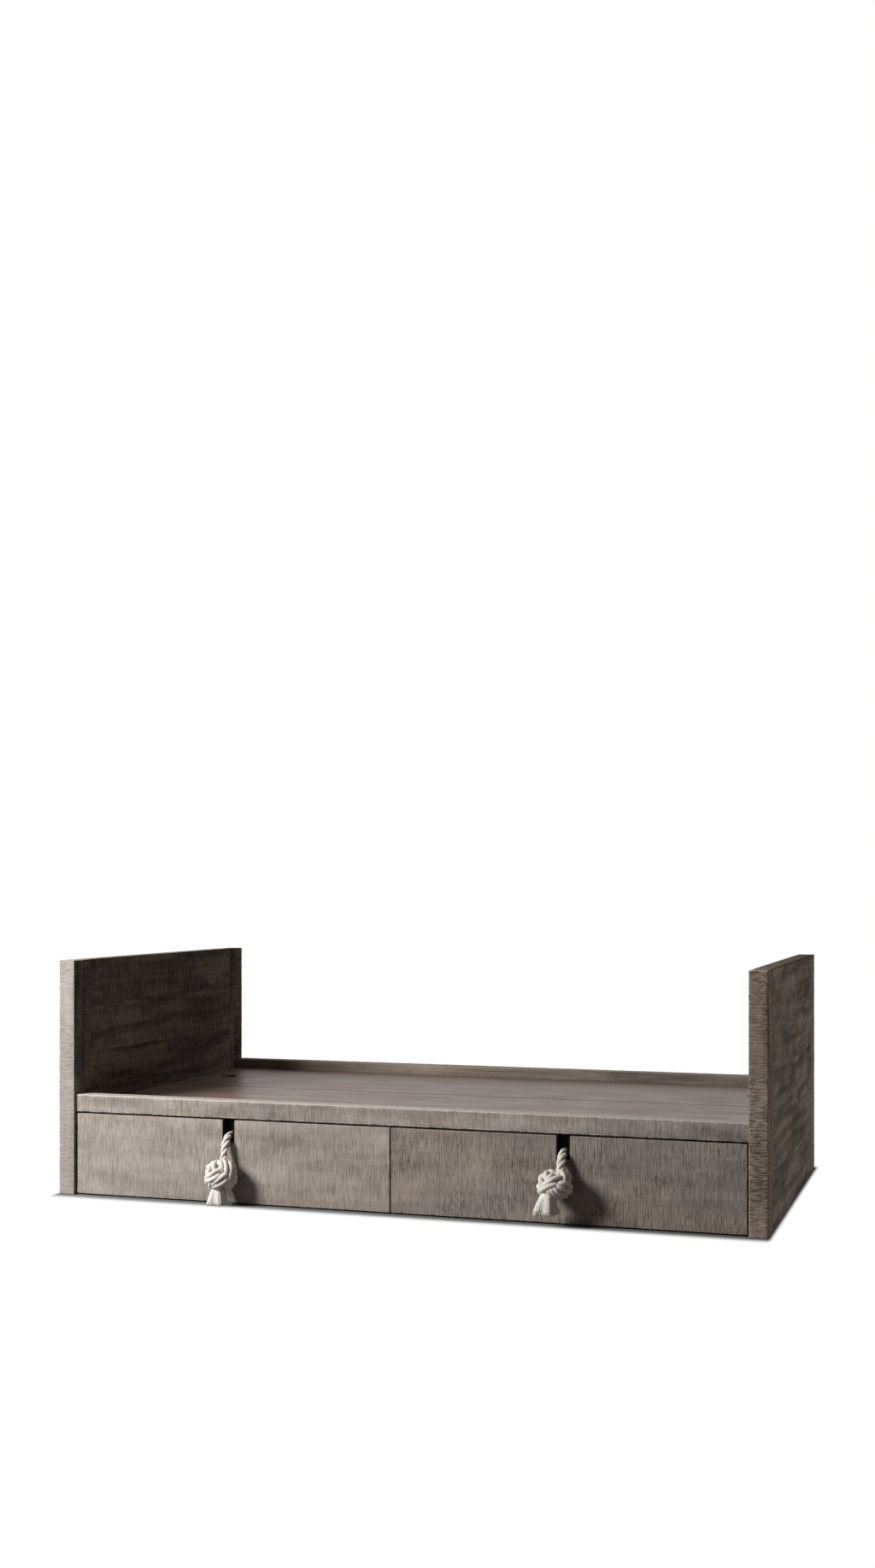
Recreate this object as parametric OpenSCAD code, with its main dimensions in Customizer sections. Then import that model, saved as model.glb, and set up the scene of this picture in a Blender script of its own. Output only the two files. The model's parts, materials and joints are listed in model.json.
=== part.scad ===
// Storage bed: two plank ends, a lift-out platform and two drawers on rope pulls.
// X runs along the bed, Y from the drawer side to the back, Z up from the floor.

/* [Overall] */
// Length over both ends
bed_l = 2040; // [1900:1:2200]
// Depth from the drawer side to the back
bed_d = 1150; // [1050:1:1300]
// Height of the two ends
end_h = 680; // [640:1:720]

/* [Ends] */
// Thickness of each end
end_t = 50; // [44:1:60]
// Width of the upright stiles
stile_w = 105; // [95:1:120]
// Height of every plank but the lowest
plank_h = 140; // [134:1:146]
// Thickness of the tongues on the planks
tongue_t = 10; // [8:0.5:14]
// Reach of the tongues
tongue_d = 8; // [6:0.5:12]
// Play of each tongue in its groove
tongue_play = 0.4; // [0.2:0.1:0.8]
// Solid wood left above the groove in a stile
groove_stop = 20; // [15:1:40]

/* [Rails] */
// Thickness of the front and back rail
rail_t = 50; // [44:1:56]
// Height of the front rail
rail_h = 51; // [46:1:60]
// Height of the back rail
back_rail_h = 110; // [90:1:140]
// Setback of the drawer side behind the stiles
front_set = 10; // [5:1:20]
// Length of the tenon on each rail end
tenon_l = 20; // [15:1:30]
// Thickness of the tenons
tenon_t = 24; // [18:1:30]
// Shoulder above and below each tenon
tenon_shoulder = 10; // [8:1:15]
// Play of each tenon in its mortise
tenon_play = 0.4; // [0.2:0.1:0.8]
// Thickness of the boards under the back rail
back_board_t = 20; // [15:1:25]
// Setback of those boards from the back
back_board_set = 10; // [5:1:15]

/* [Platform] */
// Thickness of the two platform panels
deck_t = 20; // [18:1:25]
// Gap around the platform
deck_gap = 1.5; // [1:0.5:3]
// Gap between the two panels
seam_gap = 2.5; // [1.5:0.5:4]
// Diameter of the finger holes in the rear panel
finger_d = 57; // [40:1:65]
// Distance of the finger holes from the ends
finger_x = 91; // [70:1:120]

/* [Bearers] */
// Height of the bearers under the platform
bearer_h = 35; // [30:1:38]
// Width of the front bearer
front_bearer_w = 46; // [40:1:60]
// Width of the rear bearer
rear_bearer_w = 35; // [32:1:50]
// Width of the centre beam
beam_w = 60; // [50:1:80]
// Depth of the beam's seat in each end
beam_seat = 15; // [10:1:20]
// Play of the beam in its seats
beam_play = 0.4; // [0.2:0.1:0.8]
// Room around a stopper knot in the channel that the front bearer leaves for it
relief_play = 9; // [6:1:12]
// Thickness of the divider between the drawers
divider_t = 18; // [16:1:25]

/* [Brackets and screws] */
// Leg length of the angle brackets
bracket_l = 40; // [36:1:46]
// Width of the angle brackets
bracket_w = 30; // [24:1:32]
// Thickness of the angle brackets
bracket_t = 3; // [2:0.5:4]
// Distance from the corner to the first screw
bracket_screw = 15; // [12:1:16]
// Distance between the two screws of a leg
bracket_pitch = 14; // [12:1:16]
// Screw shank diameter
screw_d = 4; // [3:0.5:5]
// Screw head diameter
screw_head_d = 8; // [7:0.5:9]
// Screw head height
screw_head_h = 2.5; // [2:0.5:3]
// Length of a bracket screw under its head
bracket_screw_l = 22; // [18:1:26]
// Length of a drawer front screw under its head
front_screw_l = 32; // [28:1:34]
// Play of a screw in the part that it clamps
screw_play = 0.5; // [0.3:0.1:1]
// Play of a screw in its pilot hole
pilot_play = 0.1; // [0.06:0.02:0.2]

/* [Drawers] */
// Gap between the drawer fronts and the floor
floor_gap = 4; // [3:1:10]
// Height of the drawer fronts
front_h = 232; // [222:1:245]
// Gap between the drawer fronts and the front rail
rail_gap = 4; // [2:0.5:6]
// Gap between a drawer front and the end beside it
side_gap = 4; // [2:0.5:6]
// Gap between the two drawer fronts
centre_gap = 4; // [2:0.5:8]
// Thickness of the drawer fronts
front_t = 22; // [18:1:26]
// Width of the notch in a drawer front
notch_w = 37; // [30:1:50]
// Depth of the notch below the top of the front
notch_h = 63; // [56:1:70]
// Corner radius at the bottom of the notch
notch_r = 5; // [4.5:0.5:10]
// Wall of the dark insert in the notch
liner_t = 4; // [3:0.5:4]
// Back plate of the insert
liner_back_t = 2; // [1.5:0.5:3]
// Play around the insert
liner_play = 0.2; // [0.1:0.1:0.4]
// Thickness of the drawer box boards
box_t = 15; // [13:1:18]
// Height of the box above the lower edge of the front
box_lift = 10; // [8:1:14]
// Height of the sides and the back of the box
side_h = 176; // [150:1:178]
// Height of the front of the box
box_front_h = 206; // [204:1:212]
// Depth of the box
box_d = 740; // [720:1:800]
// Depth of the rabbets in the sides
rabbet_d = 5; // [3:1:8]
// Thickness of the drawer bottom
bottom_t = 6; // [5:0.5:9]
// Height of the drawer bottom above the box's lower edge
bottom_up = 10; // [8:1:16]
// Depth of the grooves that hold the bottom
bottom_groove = 6; // [4:0.5:8]
// Play of the bottom in its grooves
bottom_play = 0.4; // [0.2:0.1:0.8]
// Gap between the front bearer and the front of the box
stop_gap = 2; // [1:0.5:4]
// Screw rows: distance of the front screws from the drawer's middle
front_screw_x = 380; // [300:1:420]
// Height of the lower front screws above the box's lower edge
front_screw_low = 46; // [40:1:60]
// Height between the lower and the upper front screws
front_screw_pitch = 90; // [70:1:110]

/* [Slides] */
// Length of the drawer slides
slide_l = 700; // [650:1:700]
// Room for a slide beside the box
slide_room = 13; // [13:0.5:15]
// Height of the outer member
slide_h = 45; // [40:1:50]
// Sheet thickness of the members
slide_t = 1.2; // [1:0.1:1.5]
// Height of the slide's middle above the box's lower edge
slide_up = 76; // [60:1:90]
// Distance from the face of the fronts to the slides
slide_set = 40; // [30:1:45]
// Running gap between the members
slide_gap = 0.4; // [0.3:0.1:0.6]
// Reach of the outer member's lips
outer_lip = 10; // [9:0.5:11]
// Room for the balls between the backs of the outer and the middle member
ball_room = 2.8; // [2:0.2:3.6]

/* [Rope pulls] */
// Rope diameter
rope_d = 20; // [16:1:20]
// Diameter of the rope hole in the box
rope_hole_d = 22; // [21:1:26]
// Height of the rope hole above the bottom of the notch
rope_rise = 21; // [21:0.5:22]
// Diameter of the stopper knot behind the hole
stopper_d = 46; // [36:1:48]
// Length of the stopper knot
stopper_l = 40; // [34:1:44]
// Width of the knot on the left pull
left_knot_d = 90; // [80:1:92]
// Height of the knot on the left pull
left_knot_h = 79; // [70:1:84]
// Width of the tassel on the left pull
left_tassel_d = 76; // [60:1:84]
// Length of the tassel on the left pull
left_tassel_l = 42; // [30:1:42]
// Width of the knot on the right pull
right_knot_d = 94; // [84:1:96]
// Height of the knot on the right pull
right_knot_h = 81; // [74:1:86]
// Width of the tassel on the right pull
right_tassel_d = 68; // [56:1:80]
// Length of the tassel on the right pull
right_tassel_l = 42; // [30:1:46]
// Lean of the right knot towards the middle of the bed
right_lean = 15; // [10:1:20]

/* [Hidden] */
$fn = 48;
// Overshoot of cuts past a face
cut = 1;

// Ends
inner_x = bed_l / 2 - end_t;
plank_count = 5;
low_plank_h = end_h - (plank_count - 1) * plank_h;
plank_y = bed_d / 2 - stile_w;
groove_t = tongue_t + tongue_play;
groove_d = tongue_d + tongue_play;
tongue_x = inner_x + end_t / 2;

// Heights
rail_z = floor_gap + front_h + rail_gap;
rail_top = rail_z + rail_h;
back_rail_z = rail_top - back_rail_h;
bearer_z = rail_z - bearer_h;
back_board_h = (back_rail_z - floor_gap) / 2;

// Depths
face_y = -bed_d / 2 + front_set;
box_y = face_y + front_t;
bearer_y = box_y + box_t + stop_gap;
well_front = face_y + rail_t;
well_back = bed_d / 2 - rail_t;
seam_y = (well_front + well_back) / 2;
back_board_y = bed_d / 2 - back_board_set - back_board_t;

// Drawers, measured on the right-hand one
front_x0 = centre_gap / 2;
front_x1 = inner_x - side_gap;
notch_x = (front_x0 + front_x1) / 2;
notch_z = floor_gap + front_h - notch_h;
box_x0 = divider_t / 2 + slide_room;
box_x1 = inner_x - slide_room;
box_z = floor_gap + box_lift;
box_in0 = box_x0 + box_t;
box_in1 = box_x1 - box_t;
bottom_z = box_z + bottom_up;
bottom_in = bottom_groove - bottom_play;
rope_z = notch_z + rope_rise;
relief_w = stopper_d + 2 * relief_play;
relief_z = rope_z + stopper_d / 2 + relief_play;

// Slides: each member's reach from the wall and half height
slide_z = box_z + slide_up;
slide_y = face_y + slide_set;
outer_half = slide_h / 2;
middle_half = outer_half - slide_t - slide_gap;
inner_half = middle_half - slide_t - slide_gap;
middle_u0 = slide_t + ball_room;
middle_u1 = slide_room - slide_t - 2 * slide_gap;
inner_u0 = middle_u0 + slide_t + 1.5 * slide_gap;

// Ropes: points as across, back from the face of the front, up from the bottom of the notch.
// The tail runs from the stopper knot through the box to just short of the swing centre.
tail_route = [[0, 37, 21], [0, 26, 21], [0, 18, 21], [0, 8, 19.7], [0, -2, 15.6], [0, -7.5, 12]];
// The left pull runs from the swing centre, in front of the notch, down to its knot.
left_route = [[0, -15, 4], [0, -18.5, -2], [0, -22, -11], [0, -26, -21.5], [0, -30, -33], [0, -34, -45]];
left_knot_at = [0, -48, -84.5];
left_end_dir = [0, 0, -1];
// The right pull is shorter, and its knot leans.
right_route = [[0, -15, 4], [0, -17.5, -0.5], [0, -21, -7], [0, -25, -14], [0.5, -29, -20.4]];
right_knot_at = [-10, -50, -59.5];
right_end_dir = [-sin(right_lean), 0, -cos(right_lean)];
rope_sides = 10;
knot_steps = 24;
knot_turns = 3;
knot_waist = 0.04;
// Radius of each knot where it is flat at its two ends
stopper_cap_r = 15;
left_cap_r = 32;
right_cap_r = 36;

function unit(v) = v / norm(v);
// Direction of a route at point i
function way(p, i) = i == 0 ? unit(p[1] - p[0])
    : i == len(p) - 1 ? unit(p[i] - p[i - 1])
    : unit(unit(p[i + 1] - p[i]) + unit(p[i] - p[i - 1]));
// A ring of a round tube about c, square to n
function ring(c, n, r, sides) =
    let (a = unit([1, 0, 0] - n * n[0]), b = cross(n, a))
    [for (k = [0 : sides - 1]) c + r * (cos(360 * k / sides) * a + sin(360 * k / sides) * b)];
// Faces that join rings in order and close both ends
function tube_faces(rings, sides) = concat(
    [[for (k = [0 : sides - 1]) k]],
    [for (j = [0 : rings - 2], k = [0 : sides - 1])
        [j * sides + k, (j + 1) * sides + k, (j + 1) * sides + (k + 1) % sides, j * sides + (k + 1) % sides]],
    [[for (k = [sides - 1 : -1 : 0]) (rings - 1) * sides + k]]
);
// Radius of a wound knot at height t from 0 to 1: an arch with shallow waists between its turns
function knot_r(t, d, cap) =
    sqrt(pow(d / 2, 2) - pow(2 * t - 1, 2) * (pow(d / 2, 2) - pow(cap, 2)))
    * (1 - knot_waist * (1 + cos(360 * knot_turns * t)));

module on_left() {
    mirror([1, 0, 0]) children();
}

// One stile of the right end; side is -1 at the front and 1 at the back
module stile(side) {
    y0 = side < 0 ? -bed_d / 2 : plank_y;
    groove_y = side < 0 ? -plank_y - groove_d : plank_y - cut;
    rail_y = side < 0 ? face_y : well_back;
    tenon_z = side < 0 ? rail_z : back_rail_z;
    tenon_h = side < 0 ? rail_h : back_rail_h;
    difference() {
        translate([inner_x, y0, 0]) cube([end_t, stile_w, end_h]);
        translate([tongue_x - groove_t / 2, groove_y, -cut])
            cube([groove_t, groove_d + cut, end_h - groove_stop + cut]);
        tenon(rail_y, tenon_z, tenon_h, tenon_play);
        bracket_end_pilots(side);
    }
}

// Tenon at the right-hand end of a rail, grown by play to cut its mortise
module tenon(rail_y, z, h, play) {
    translate([inner_x - (play > 0 ? cut : 0), rail_y + (rail_t - tenon_t - play) / 2, z + tenon_shoulder - play / 2])
        cube([tenon_l + (play > 0 ? cut + play : 0), tenon_t + play, h - 2 * tenon_shoulder + play]);
}

// Plank i of the right end, counted from the floor, with its tongues and grooves
module plank(i) {
    z0 = i == 0 ? 0 : low_plank_h + (i - 1) * plank_h;
    h = i == 0 ? low_plank_h : plank_h;
    last = plank_count - 1;
    tongue_top = i == last ? z0 + h - groove_stop - tongue_play : z0 + h;
    difference() {
        union() {
            translate([inner_x, -plank_y, z0]) cube([end_t, 2 * plank_y, h]);
            translate([tongue_x - tongue_t / 2, -plank_y - tongue_d, z0])
                cube([tongue_t, 2 * (plank_y + tongue_d), tongue_top - z0]);
            if (i < last)
                translate([tongue_x - tongue_t / 2, -plank_y, z0 + h - cut])
                    cube([tongue_t, 2 * plank_y, tongue_d + cut]);
        }
        if (i > 0)
            translate([tongue_x - groove_t / 2, -plank_y - cut, z0 - cut])
                cube([groove_t, 2 * (plank_y + cut), groove_d + cut]);
        beam_seat_cut();
    }
}

module beam_seat_cut() {
    translate([inner_x - cut, seam_y - (beam_w + beam_play) / 2, bearer_z - beam_play / 2])
        cube([beam_seat + beam_play + cut, beam_w + beam_play, bearer_h + beam_play]);
}

// A rail between the ends with a tenon at both ends
module rail(y, z, h) {
    translate([-inner_x, y, z]) cube([2 * inner_x, rail_t, h]);
    tenon(y, z, h, 0);
    on_left() tenon(y, z, h, 0);
}

module front_rail() {
    color("#8f857b") rail(face_y, rail_z, rail_h);
}

module back_rail() {
    color("#6e665f") rail(well_back, back_rail_z, back_rail_h);
}

// Board i under the back rail; the lower one carries the tongue
module back_board(i) {
    z0 = floor_gap + i * back_board_h;
    rib = back_board_t / 3;
    mid_y = back_board_y + back_board_t / 2;
    color("#6a625b") difference() {
        union() {
            translate([-inner_x, back_board_y, z0]) cube([2 * inner_x, back_board_t, back_board_h]);
            if (i == 0)
                translate([-inner_x, mid_y - rib / 2, z0 + back_board_h - cut])
                    cube([2 * inner_x, rib, tongue_d + cut]);
        }
        if (i == 1)
            translate([-inner_x - cut, mid_y - (rib + tongue_play) / 2, z0 - cut])
                cube([2 * (inner_x + cut), rib + tongue_play, groove_d + cut]);
    }
}

module front_bearer() {
    color("#77695c") difference() {
        translate([-inner_x, bearer_y, bearer_z]) cube([2 * inner_x, front_bearer_w, bearer_h]);
        for (side = [-1, 1])
            translate([side * notch_x - relief_w / 2, bearer_y - cut, bearer_z - cut])
                cube([relief_w, front_bearer_w + 2 * cut, relief_z - bearer_z + cut]);
        bracket_bearer_pilots(-1);
    }
}

module rear_bearer() {
    color("#77695c") difference() {
        translate([-inner_x, well_back - rear_bearer_w, bearer_z]) cube([2 * inner_x, rear_bearer_w, bearer_h]);
        bracket_bearer_pilots(1);
    }
}

module centre_beam() {
    color("#77695c")
        translate([-inner_x - beam_seat, seam_y - beam_w / 2, bearer_z])
            cube([2 * (inner_x + beam_seat), beam_w, bearer_h]);
}

// The divider stands on the floor and is cut away under the back rail
module centre_divider() {
    color("#77695c") difference() {
        translate([-divider_t / 2, box_y + stop_gap, 0])
            cube([divider_t, back_board_y - box_y - stop_gap, bearer_z]);
        translate([-divider_t / 2 - cut, well_back, back_rail_z])
            cube([divider_t + 2 * cut, rail_t, bearer_z]);
    }
}

// Middle of the brackets along Y, at the front (-1) or the back (1)
function bracket_y(side) = side < 0 ? bearer_y + front_bearer_w / 2 : well_back - rear_bearer_w / 2;
function bracket_step(k) = bracket_screw + k * bracket_pitch;

// Angle bracket in the right-hand corner under a bearer
module bracket(side) {
    y0 = bracket_y(side) - bracket_w / 2;
    difference() {
        union() {
            translate([inner_x - bracket_t, y0, bearer_z - bracket_l]) cube([bracket_t, bracket_w, bracket_l]);
            translate([inner_x - bracket_l, y0, bearer_z - bracket_t]) cube([bracket_l, bracket_w, bracket_t]);
        }
        for (k = [0, 1]) {
            translate([inner_x - bracket_t - cut, bracket_y(side), bearer_z - bracket_step(k)])
                rotate([0, 90, 0]) cylinder(d = screw_d + screw_play, h = bracket_t + 2 * cut);
            translate([inner_x - bracket_step(k), bracket_y(side), bearer_z - bracket_t - cut])
                cylinder(d = screw_d + screw_play, h = bracket_t + 2 * cut);
        }
    }
}

// Screw along +Z with its head's underside at the origin and the head below
module screw(length) {
    rotate_extrude()
        polygon([
            [0, -screw_head_h], [screw_head_d / 2, -screw_head_h], [screw_head_d / 2, 0],
            [screw_d / 2, 0], [screw_d / 2, length], [0, length]
        ]);
}

module bracket_end_pilots(side) {
    for (k = [0, 1])
        translate([inner_x - cut, bracket_y(side), bearer_z - bracket_step(k)]) rotate([0, 90, 0])
            cylinder(d = screw_d + pilot_play, h = bracket_screw_l - bracket_t + 2 * cut);
}

module bracket_bearer_pilots(side) {
    for (end = [-1, 1], k = [0, 1])
        translate([end * (inner_x - bracket_step(k)), bracket_y(side), bearer_z - cut])
            cylinder(d = screw_d + pilot_play, h = bracket_screw_l - bracket_t + 2 * cut);
}

module both_ends() {
    children();
    on_left() children();
}

module bearer_brackets() {
    color("silver") both_ends() for (side = [-1, 1]) bracket(side);
}

module bracket_screws() {
    color("dimgray") both_ends() for (side = [-1, 1], k = [0, 1]) {
        translate([inner_x - bracket_t, bracket_y(side), bearer_z - bracket_step(k)])
            rotate([0, 90, 0]) screw(bracket_screw_l);
        translate([inner_x - bracket_step(k), bracket_y(side), bearer_z - bracket_t]) screw(bracket_screw_l);
    }
}

// Platform panel from y0 to y1
module deck_panel(y0, y1) {
    translate([-inner_x + deck_gap, y0, rail_z]) cube([2 * (inner_x - deck_gap), y1 - y0, deck_t]);
}

module front_deck_panel() {
    color("#7f766e") deck_panel(well_front + deck_gap, seam_y - seam_gap / 2);
}

// The rear panel comes out first, so it has a finger hole near each end
module rear_deck_panel() {
    y0 = seam_y + seam_gap / 2;
    y1 = well_back - deck_gap;
    color("#7f766e") difference() {
        deck_panel(y0, y1);
        for (side = [-1, 1])
            translate([side * (inner_x - finger_x), (y0 + y1) / 2, rail_z - cut])
                cylinder(d = finger_d, h = deck_t + 2 * cut);
    }
}

// Channel with its back at u0 and its lips reaching u1, along Y, u counted from the wall at x = 0
module channel(u0, u1, half, back_first) {
    hollow_u0 = back_first ? u0 + slide_t : u0 - cut;
    hollow_u1 = back_first ? u1 + cut : u1 - slide_t;
    difference() {
        translate([u0, slide_y, slide_z - half]) cube([u1 - u0, slide_l, 2 * half]);
        translate([hollow_u0, slide_y - cut, slide_z - half + slide_t])
            cube([hollow_u1 - hollow_u0, slide_l + 2 * cut, 2 * (half - slide_t)]);
    }
}

// The same member on both sides of the right-hand drawer
module slide_pair() {
    translate([divider_t / 2, 0, 0]) children();
    translate([inner_x, 0, 0]) mirror([1, 0, 0]) children();
}

module slide_outers() {
    color("silver") slide_pair() channel(0, outer_lip, outer_half, true);
}

module slide_middles() {
    color("gainsboro") slide_pair() channel(middle_u0, middle_u1, middle_half, true);
}

module slide_inners() {
    color("silver") slide_pair() channel(inner_u0, slide_room, inner_half, false);
}

// Notch with round lower corners, drawn in by inset on its sides and bottom, from y0 to y1
module notch_block(inset, y0, y1, top) {
    half = notch_w / 2 - inset;
    r = notch_r - inset;
    z0 = notch_z + inset;
    translate([notch_x - half, y0, z0 + r]) cube([2 * half, y1 - y0, top - z0 - r]);
    translate([notch_x - half + r, y0, z0]) cube([2 * (half - r), y1 - y0, top - z0]);
    for (side = [-1, 1])
        translate([notch_x + side * (half - r), y0, z0 + r]) rotate([-90, 0, 0]) cylinder(r = r, h = y1 - y0);
}

// Dark insert in the notch, open at the front and the top, with the rope hole in its back
module notch_liner() {
    top = floor_gap + front_h;
    color("#1c1a19") difference() {
        notch_block(liner_play, face_y, box_y, top);
        notch_block(liner_play + liner_t, face_y - cut, box_y - liner_back_t, top + cut);
        rope_bore(box_y - liner_back_t, liner_back_t);
    }
}

// Rope hole through whatever lies from y over a thickness
module rope_bore(y, thickness) {
    translate([notch_x, y - cut, rope_z]) rotate([-90, 0, 0]) cylinder(d = rope_hole_d, h = thickness + 2 * cut);
}

module drawer_front() {
    color("#857a70") difference() {
        translate([front_x0, face_y, floor_gap]) cube([front_x1 - front_x0, front_t, front_h]);
        notch_block(0, face_y - cut, box_y + cut, floor_gap + front_h + cut);
        front_screw_places() cylinder(d = screw_d + pilot_play, h = front_screw_l + pilot_play);
    }
}

// The four places of the screws that hold a drawer front, pointing out to the front
module front_screw_places() {
    for (side = [-1, 1], k = [0, 1])
        translate([notch_x + side * front_screw_x, box_y + box_t, box_z + front_screw_low + k * front_screw_pitch])
            rotate([90, 0, 0]) children();
}

// Groove all round the inside of the box for its bottom
module bottom_slot() {
    translate([box_in0 - bottom_groove, box_y + box_t - bottom_groove, bottom_z - bottom_play / 2])
        cube([
            box_in1 - box_in0 + 2 * bottom_groove,
            box_d - 2 * (box_t - bottom_groove),
            bottom_t + bottom_play
        ]);
}

// Board across the box, from y, with its ends in the rabbets of the sides
module cross_board(y, h) {
    translate([box_in0 - rabbet_d, y, box_z]) cube([box_in1 - box_in0 + 2 * rabbet_d, box_t, h]);
}

module box_front() {
    color("#a08a72") difference() {
        cross_board(box_y, box_front_h);
        bottom_slot();
        rope_bore(box_y, box_t);
        front_screw_places() translate([0, 0, -cut])
            cylinder(d = screw_d + screw_play, h = box_t + 2 * cut);
    }
}

module box_back() {
    color("#a08a72") difference() {
        cross_board(box_y + box_d - box_t, side_h);
        bottom_slot();
    }
}

// Side of the box with its outer face at x and its inner face towards dir
module box_side(x, dir) {
    color("#a08a72") difference() {
        translate([dir > 0 ? x : x - box_t, box_y, box_z]) cube([box_t, box_d, side_h]);
        bottom_slot();
        for (y = [box_y - cut, box_y + box_d - box_t])
            translate([box_in0 - rabbet_d, y, box_z - cut])
                cube([box_in1 - box_in0 + 2 * rabbet_d, box_t + cut, side_h + 2 * cut]);
    }
}

module box_outer_side() {
    box_side(box_x1, -1);
}

module box_inner_side() {
    box_side(box_x0, 1);
}

module box_bottom() {
    color("#b09a80")
        translate([box_in0 - bottom_in, box_y + box_t - bottom_in, bottom_z])
            cube([box_in1 - box_in0 + 2 * bottom_in, box_d - 2 * (box_t - bottom_in), bottom_t]);
}

module front_screws() {
    color("dimgray") front_screw_places() screw(front_screw_l);
}

// Wound knot along Z about its middle
module wound_knot(d, h, cap) {
    rotate_extrude()
        polygon(concat(
            [[0, -h / 2]],
            [for (i = [0 : knot_steps]) [knot_r(i / knot_steps, d, cap), h * (i / knot_steps - 0.5)]],
            [[0, h / 2]]
        ));
}

// Frayed tassel hanging from the origin, drawn in under the knot and spread at its end
module tassel(d, length) {
    neck_r = d * 0.2;
    rotate_extrude()
        polygon([
            [0, 0], [neck_r * 1.1, 0], [neck_r, -length * 0.12], [d * 0.29, -length * 0.4],
            [d * 0.4, -length * 0.7], [d * 0.5, -length * 0.94], [d * 0.47, -length], [0, -length]
        ]);
}

// Puts a piece in the frame of a pull: notch middle, face of the front, bottom of the notch
module at_notch(side) {
    translate([side * notch_x, face_y, notch_z]) children();
}

module stopper_knot(side) {
    color("#dcd5c6") at_notch(side)
        translate([0, front_t + box_t + stopper_l / 2, rope_rise]) rotate([90, 0, 0])
            wound_knot(stopper_d, stopper_l, stopper_cap_r);
}

module rope_tail(side) {
    rings = [for (i = [0 : len(tail_route) - 1])
        ring(tail_route[i], i == 0 ? [0, -1, 0] : way(tail_route, i), rope_d / 2, rope_sides)];
    color("#dcd5c6") at_notch(side)
        polyhedron(points = [for (r = rings) each r], faces = tube_faces(len(rings), rope_sides));
}

// Rope with a round end at the swing centre and a flat end in the plane of the knot's top
module pull_rope(side, route, end_dir) {
    r = rope_d / 2;
    n0 = way(route, 0);
    dome = [for (a = [20 : 23 : 66]) ring(route[0] - n0 * r * cos(a), n0, r * sin(a), rope_sides)];
    last = len(route) - 1;
    body = [for (i = [0 : last]) ring(route[i], i == last ? end_dir : way(route, i), r, rope_sides)];
    rings = concat(dome, body);
    color("#dcd5c6") at_notch(side)
        polyhedron(points = [for (q = rings) each q], faces = tube_faces(len(rings), rope_sides));
}

// Places a piece about the middle of a knot, tipped so that its lower end goes to -X
module at_knot(side, place, lean) {
    at_notch(side) translate(place) rotate([0, lean, 0]) children();
}

color("#9a9087") on_left() stile(-1);  // left_front_stile
color("#6b635c") on_left() stile(1);  // left_rear_stile
color("#665e57") on_left() plank(0);  // left_plank_1
color("#6b635b") on_left() plank(1);  // left_plank_2
color("#625b54") on_left() plank(2);  // left_plank_3
color("#69615a") on_left() plank(3);  // left_plank_4
color("#645c56") on_left() plank(4);  // left_plank_5
color("#8a7f75") stile(-1);  // right_front_stile
color("#6b6056") stile(1);  // right_rear_stile
color("#665e57") plank(0);  // right_plank_1
color("#6b635b") plank(1);  // right_plank_2
color("#625b54") plank(2);  // right_plank_3
color("#69615a") plank(3);  // right_plank_4
color("#645c56") plank(4);  // right_plank_5
front_rail();
back_rail();
back_board(0);  // back_board_1
back_board(1);  // back_board_2
front_bearer();
rear_bearer();
centre_beam();
centre_divider();
bearer_brackets();
bracket_screws();
front_deck_panel();
rear_deck_panel();
on_left() slide_outers();  // left_slide_outers
on_left() slide_middles();  // left_slide_middles
on_left() slide_inners();  // left_slide_inners
slide_outers();  // right_slide_outers
slide_middles();  // right_slide_middles
slide_inners();  // right_slide_inners
on_left() drawer_front();  // left_drawer_front
on_left() box_front();  // left_box_front
on_left() box_outer_side();  // left_box_outer_side
on_left() box_inner_side();  // left_box_inner_side
on_left() box_back();  // left_box_back
on_left() box_bottom();  // left_box_bottom
on_left() front_screws();  // left_front_screws
on_left() notch_liner();  // left_notch_liner
notch_liner();  // right_notch_liner
drawer_front();  // right_drawer_front
box_front();  // right_box_front
box_outer_side();  // right_box_outer_side
box_inner_side();  // right_box_inner_side
box_back();  // right_box_back
box_bottom();  // right_box_bottom
front_screws();  // right_front_screws
stopper_knot(-1);  // left_stopper_knot
rope_tail(-1);  // left_rope_tail
pull_rope(-1, left_route, left_end_dir);  // left_pull_rope
color("#dcd5c6")  // left_pull_knot
    at_knot(-1, left_knot_at, 0) wound_knot(left_knot_d, left_knot_h, left_cap_r);
color("#dcd5c6")  // left_pull_tassel
    at_knot(-1, left_knot_at, 0) translate([0, 0, -left_knot_h / 2]) tassel(left_tassel_d, left_tassel_l);
stopper_knot(1);  // right_stopper_knot
rope_tail(1);  // right_rope_tail
pull_rope(1, right_route, right_end_dir);  // right_pull_rope
color("#dcd5c6")  // right_pull_knot
    at_knot(1, right_knot_at, right_lean) wound_knot(right_knot_d, right_knot_h, right_cap_r);
color("#dcd5c6")  // right_pull_tassel
    at_knot(1, right_knot_at, right_lean) translate([0, 0, -right_knot_h / 2]) tassel(right_tassel_d, right_tassel_l);
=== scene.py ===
# %% [markdown]
# A storage bed in rough sawn, weathered wood: two plank ends, a lift-out platform, and two wide drawers
# on rope pulls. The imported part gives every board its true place, so the work here is the finish.
# Each cell makes one thing, from the camera and the ropes to the boards and the light.

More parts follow.
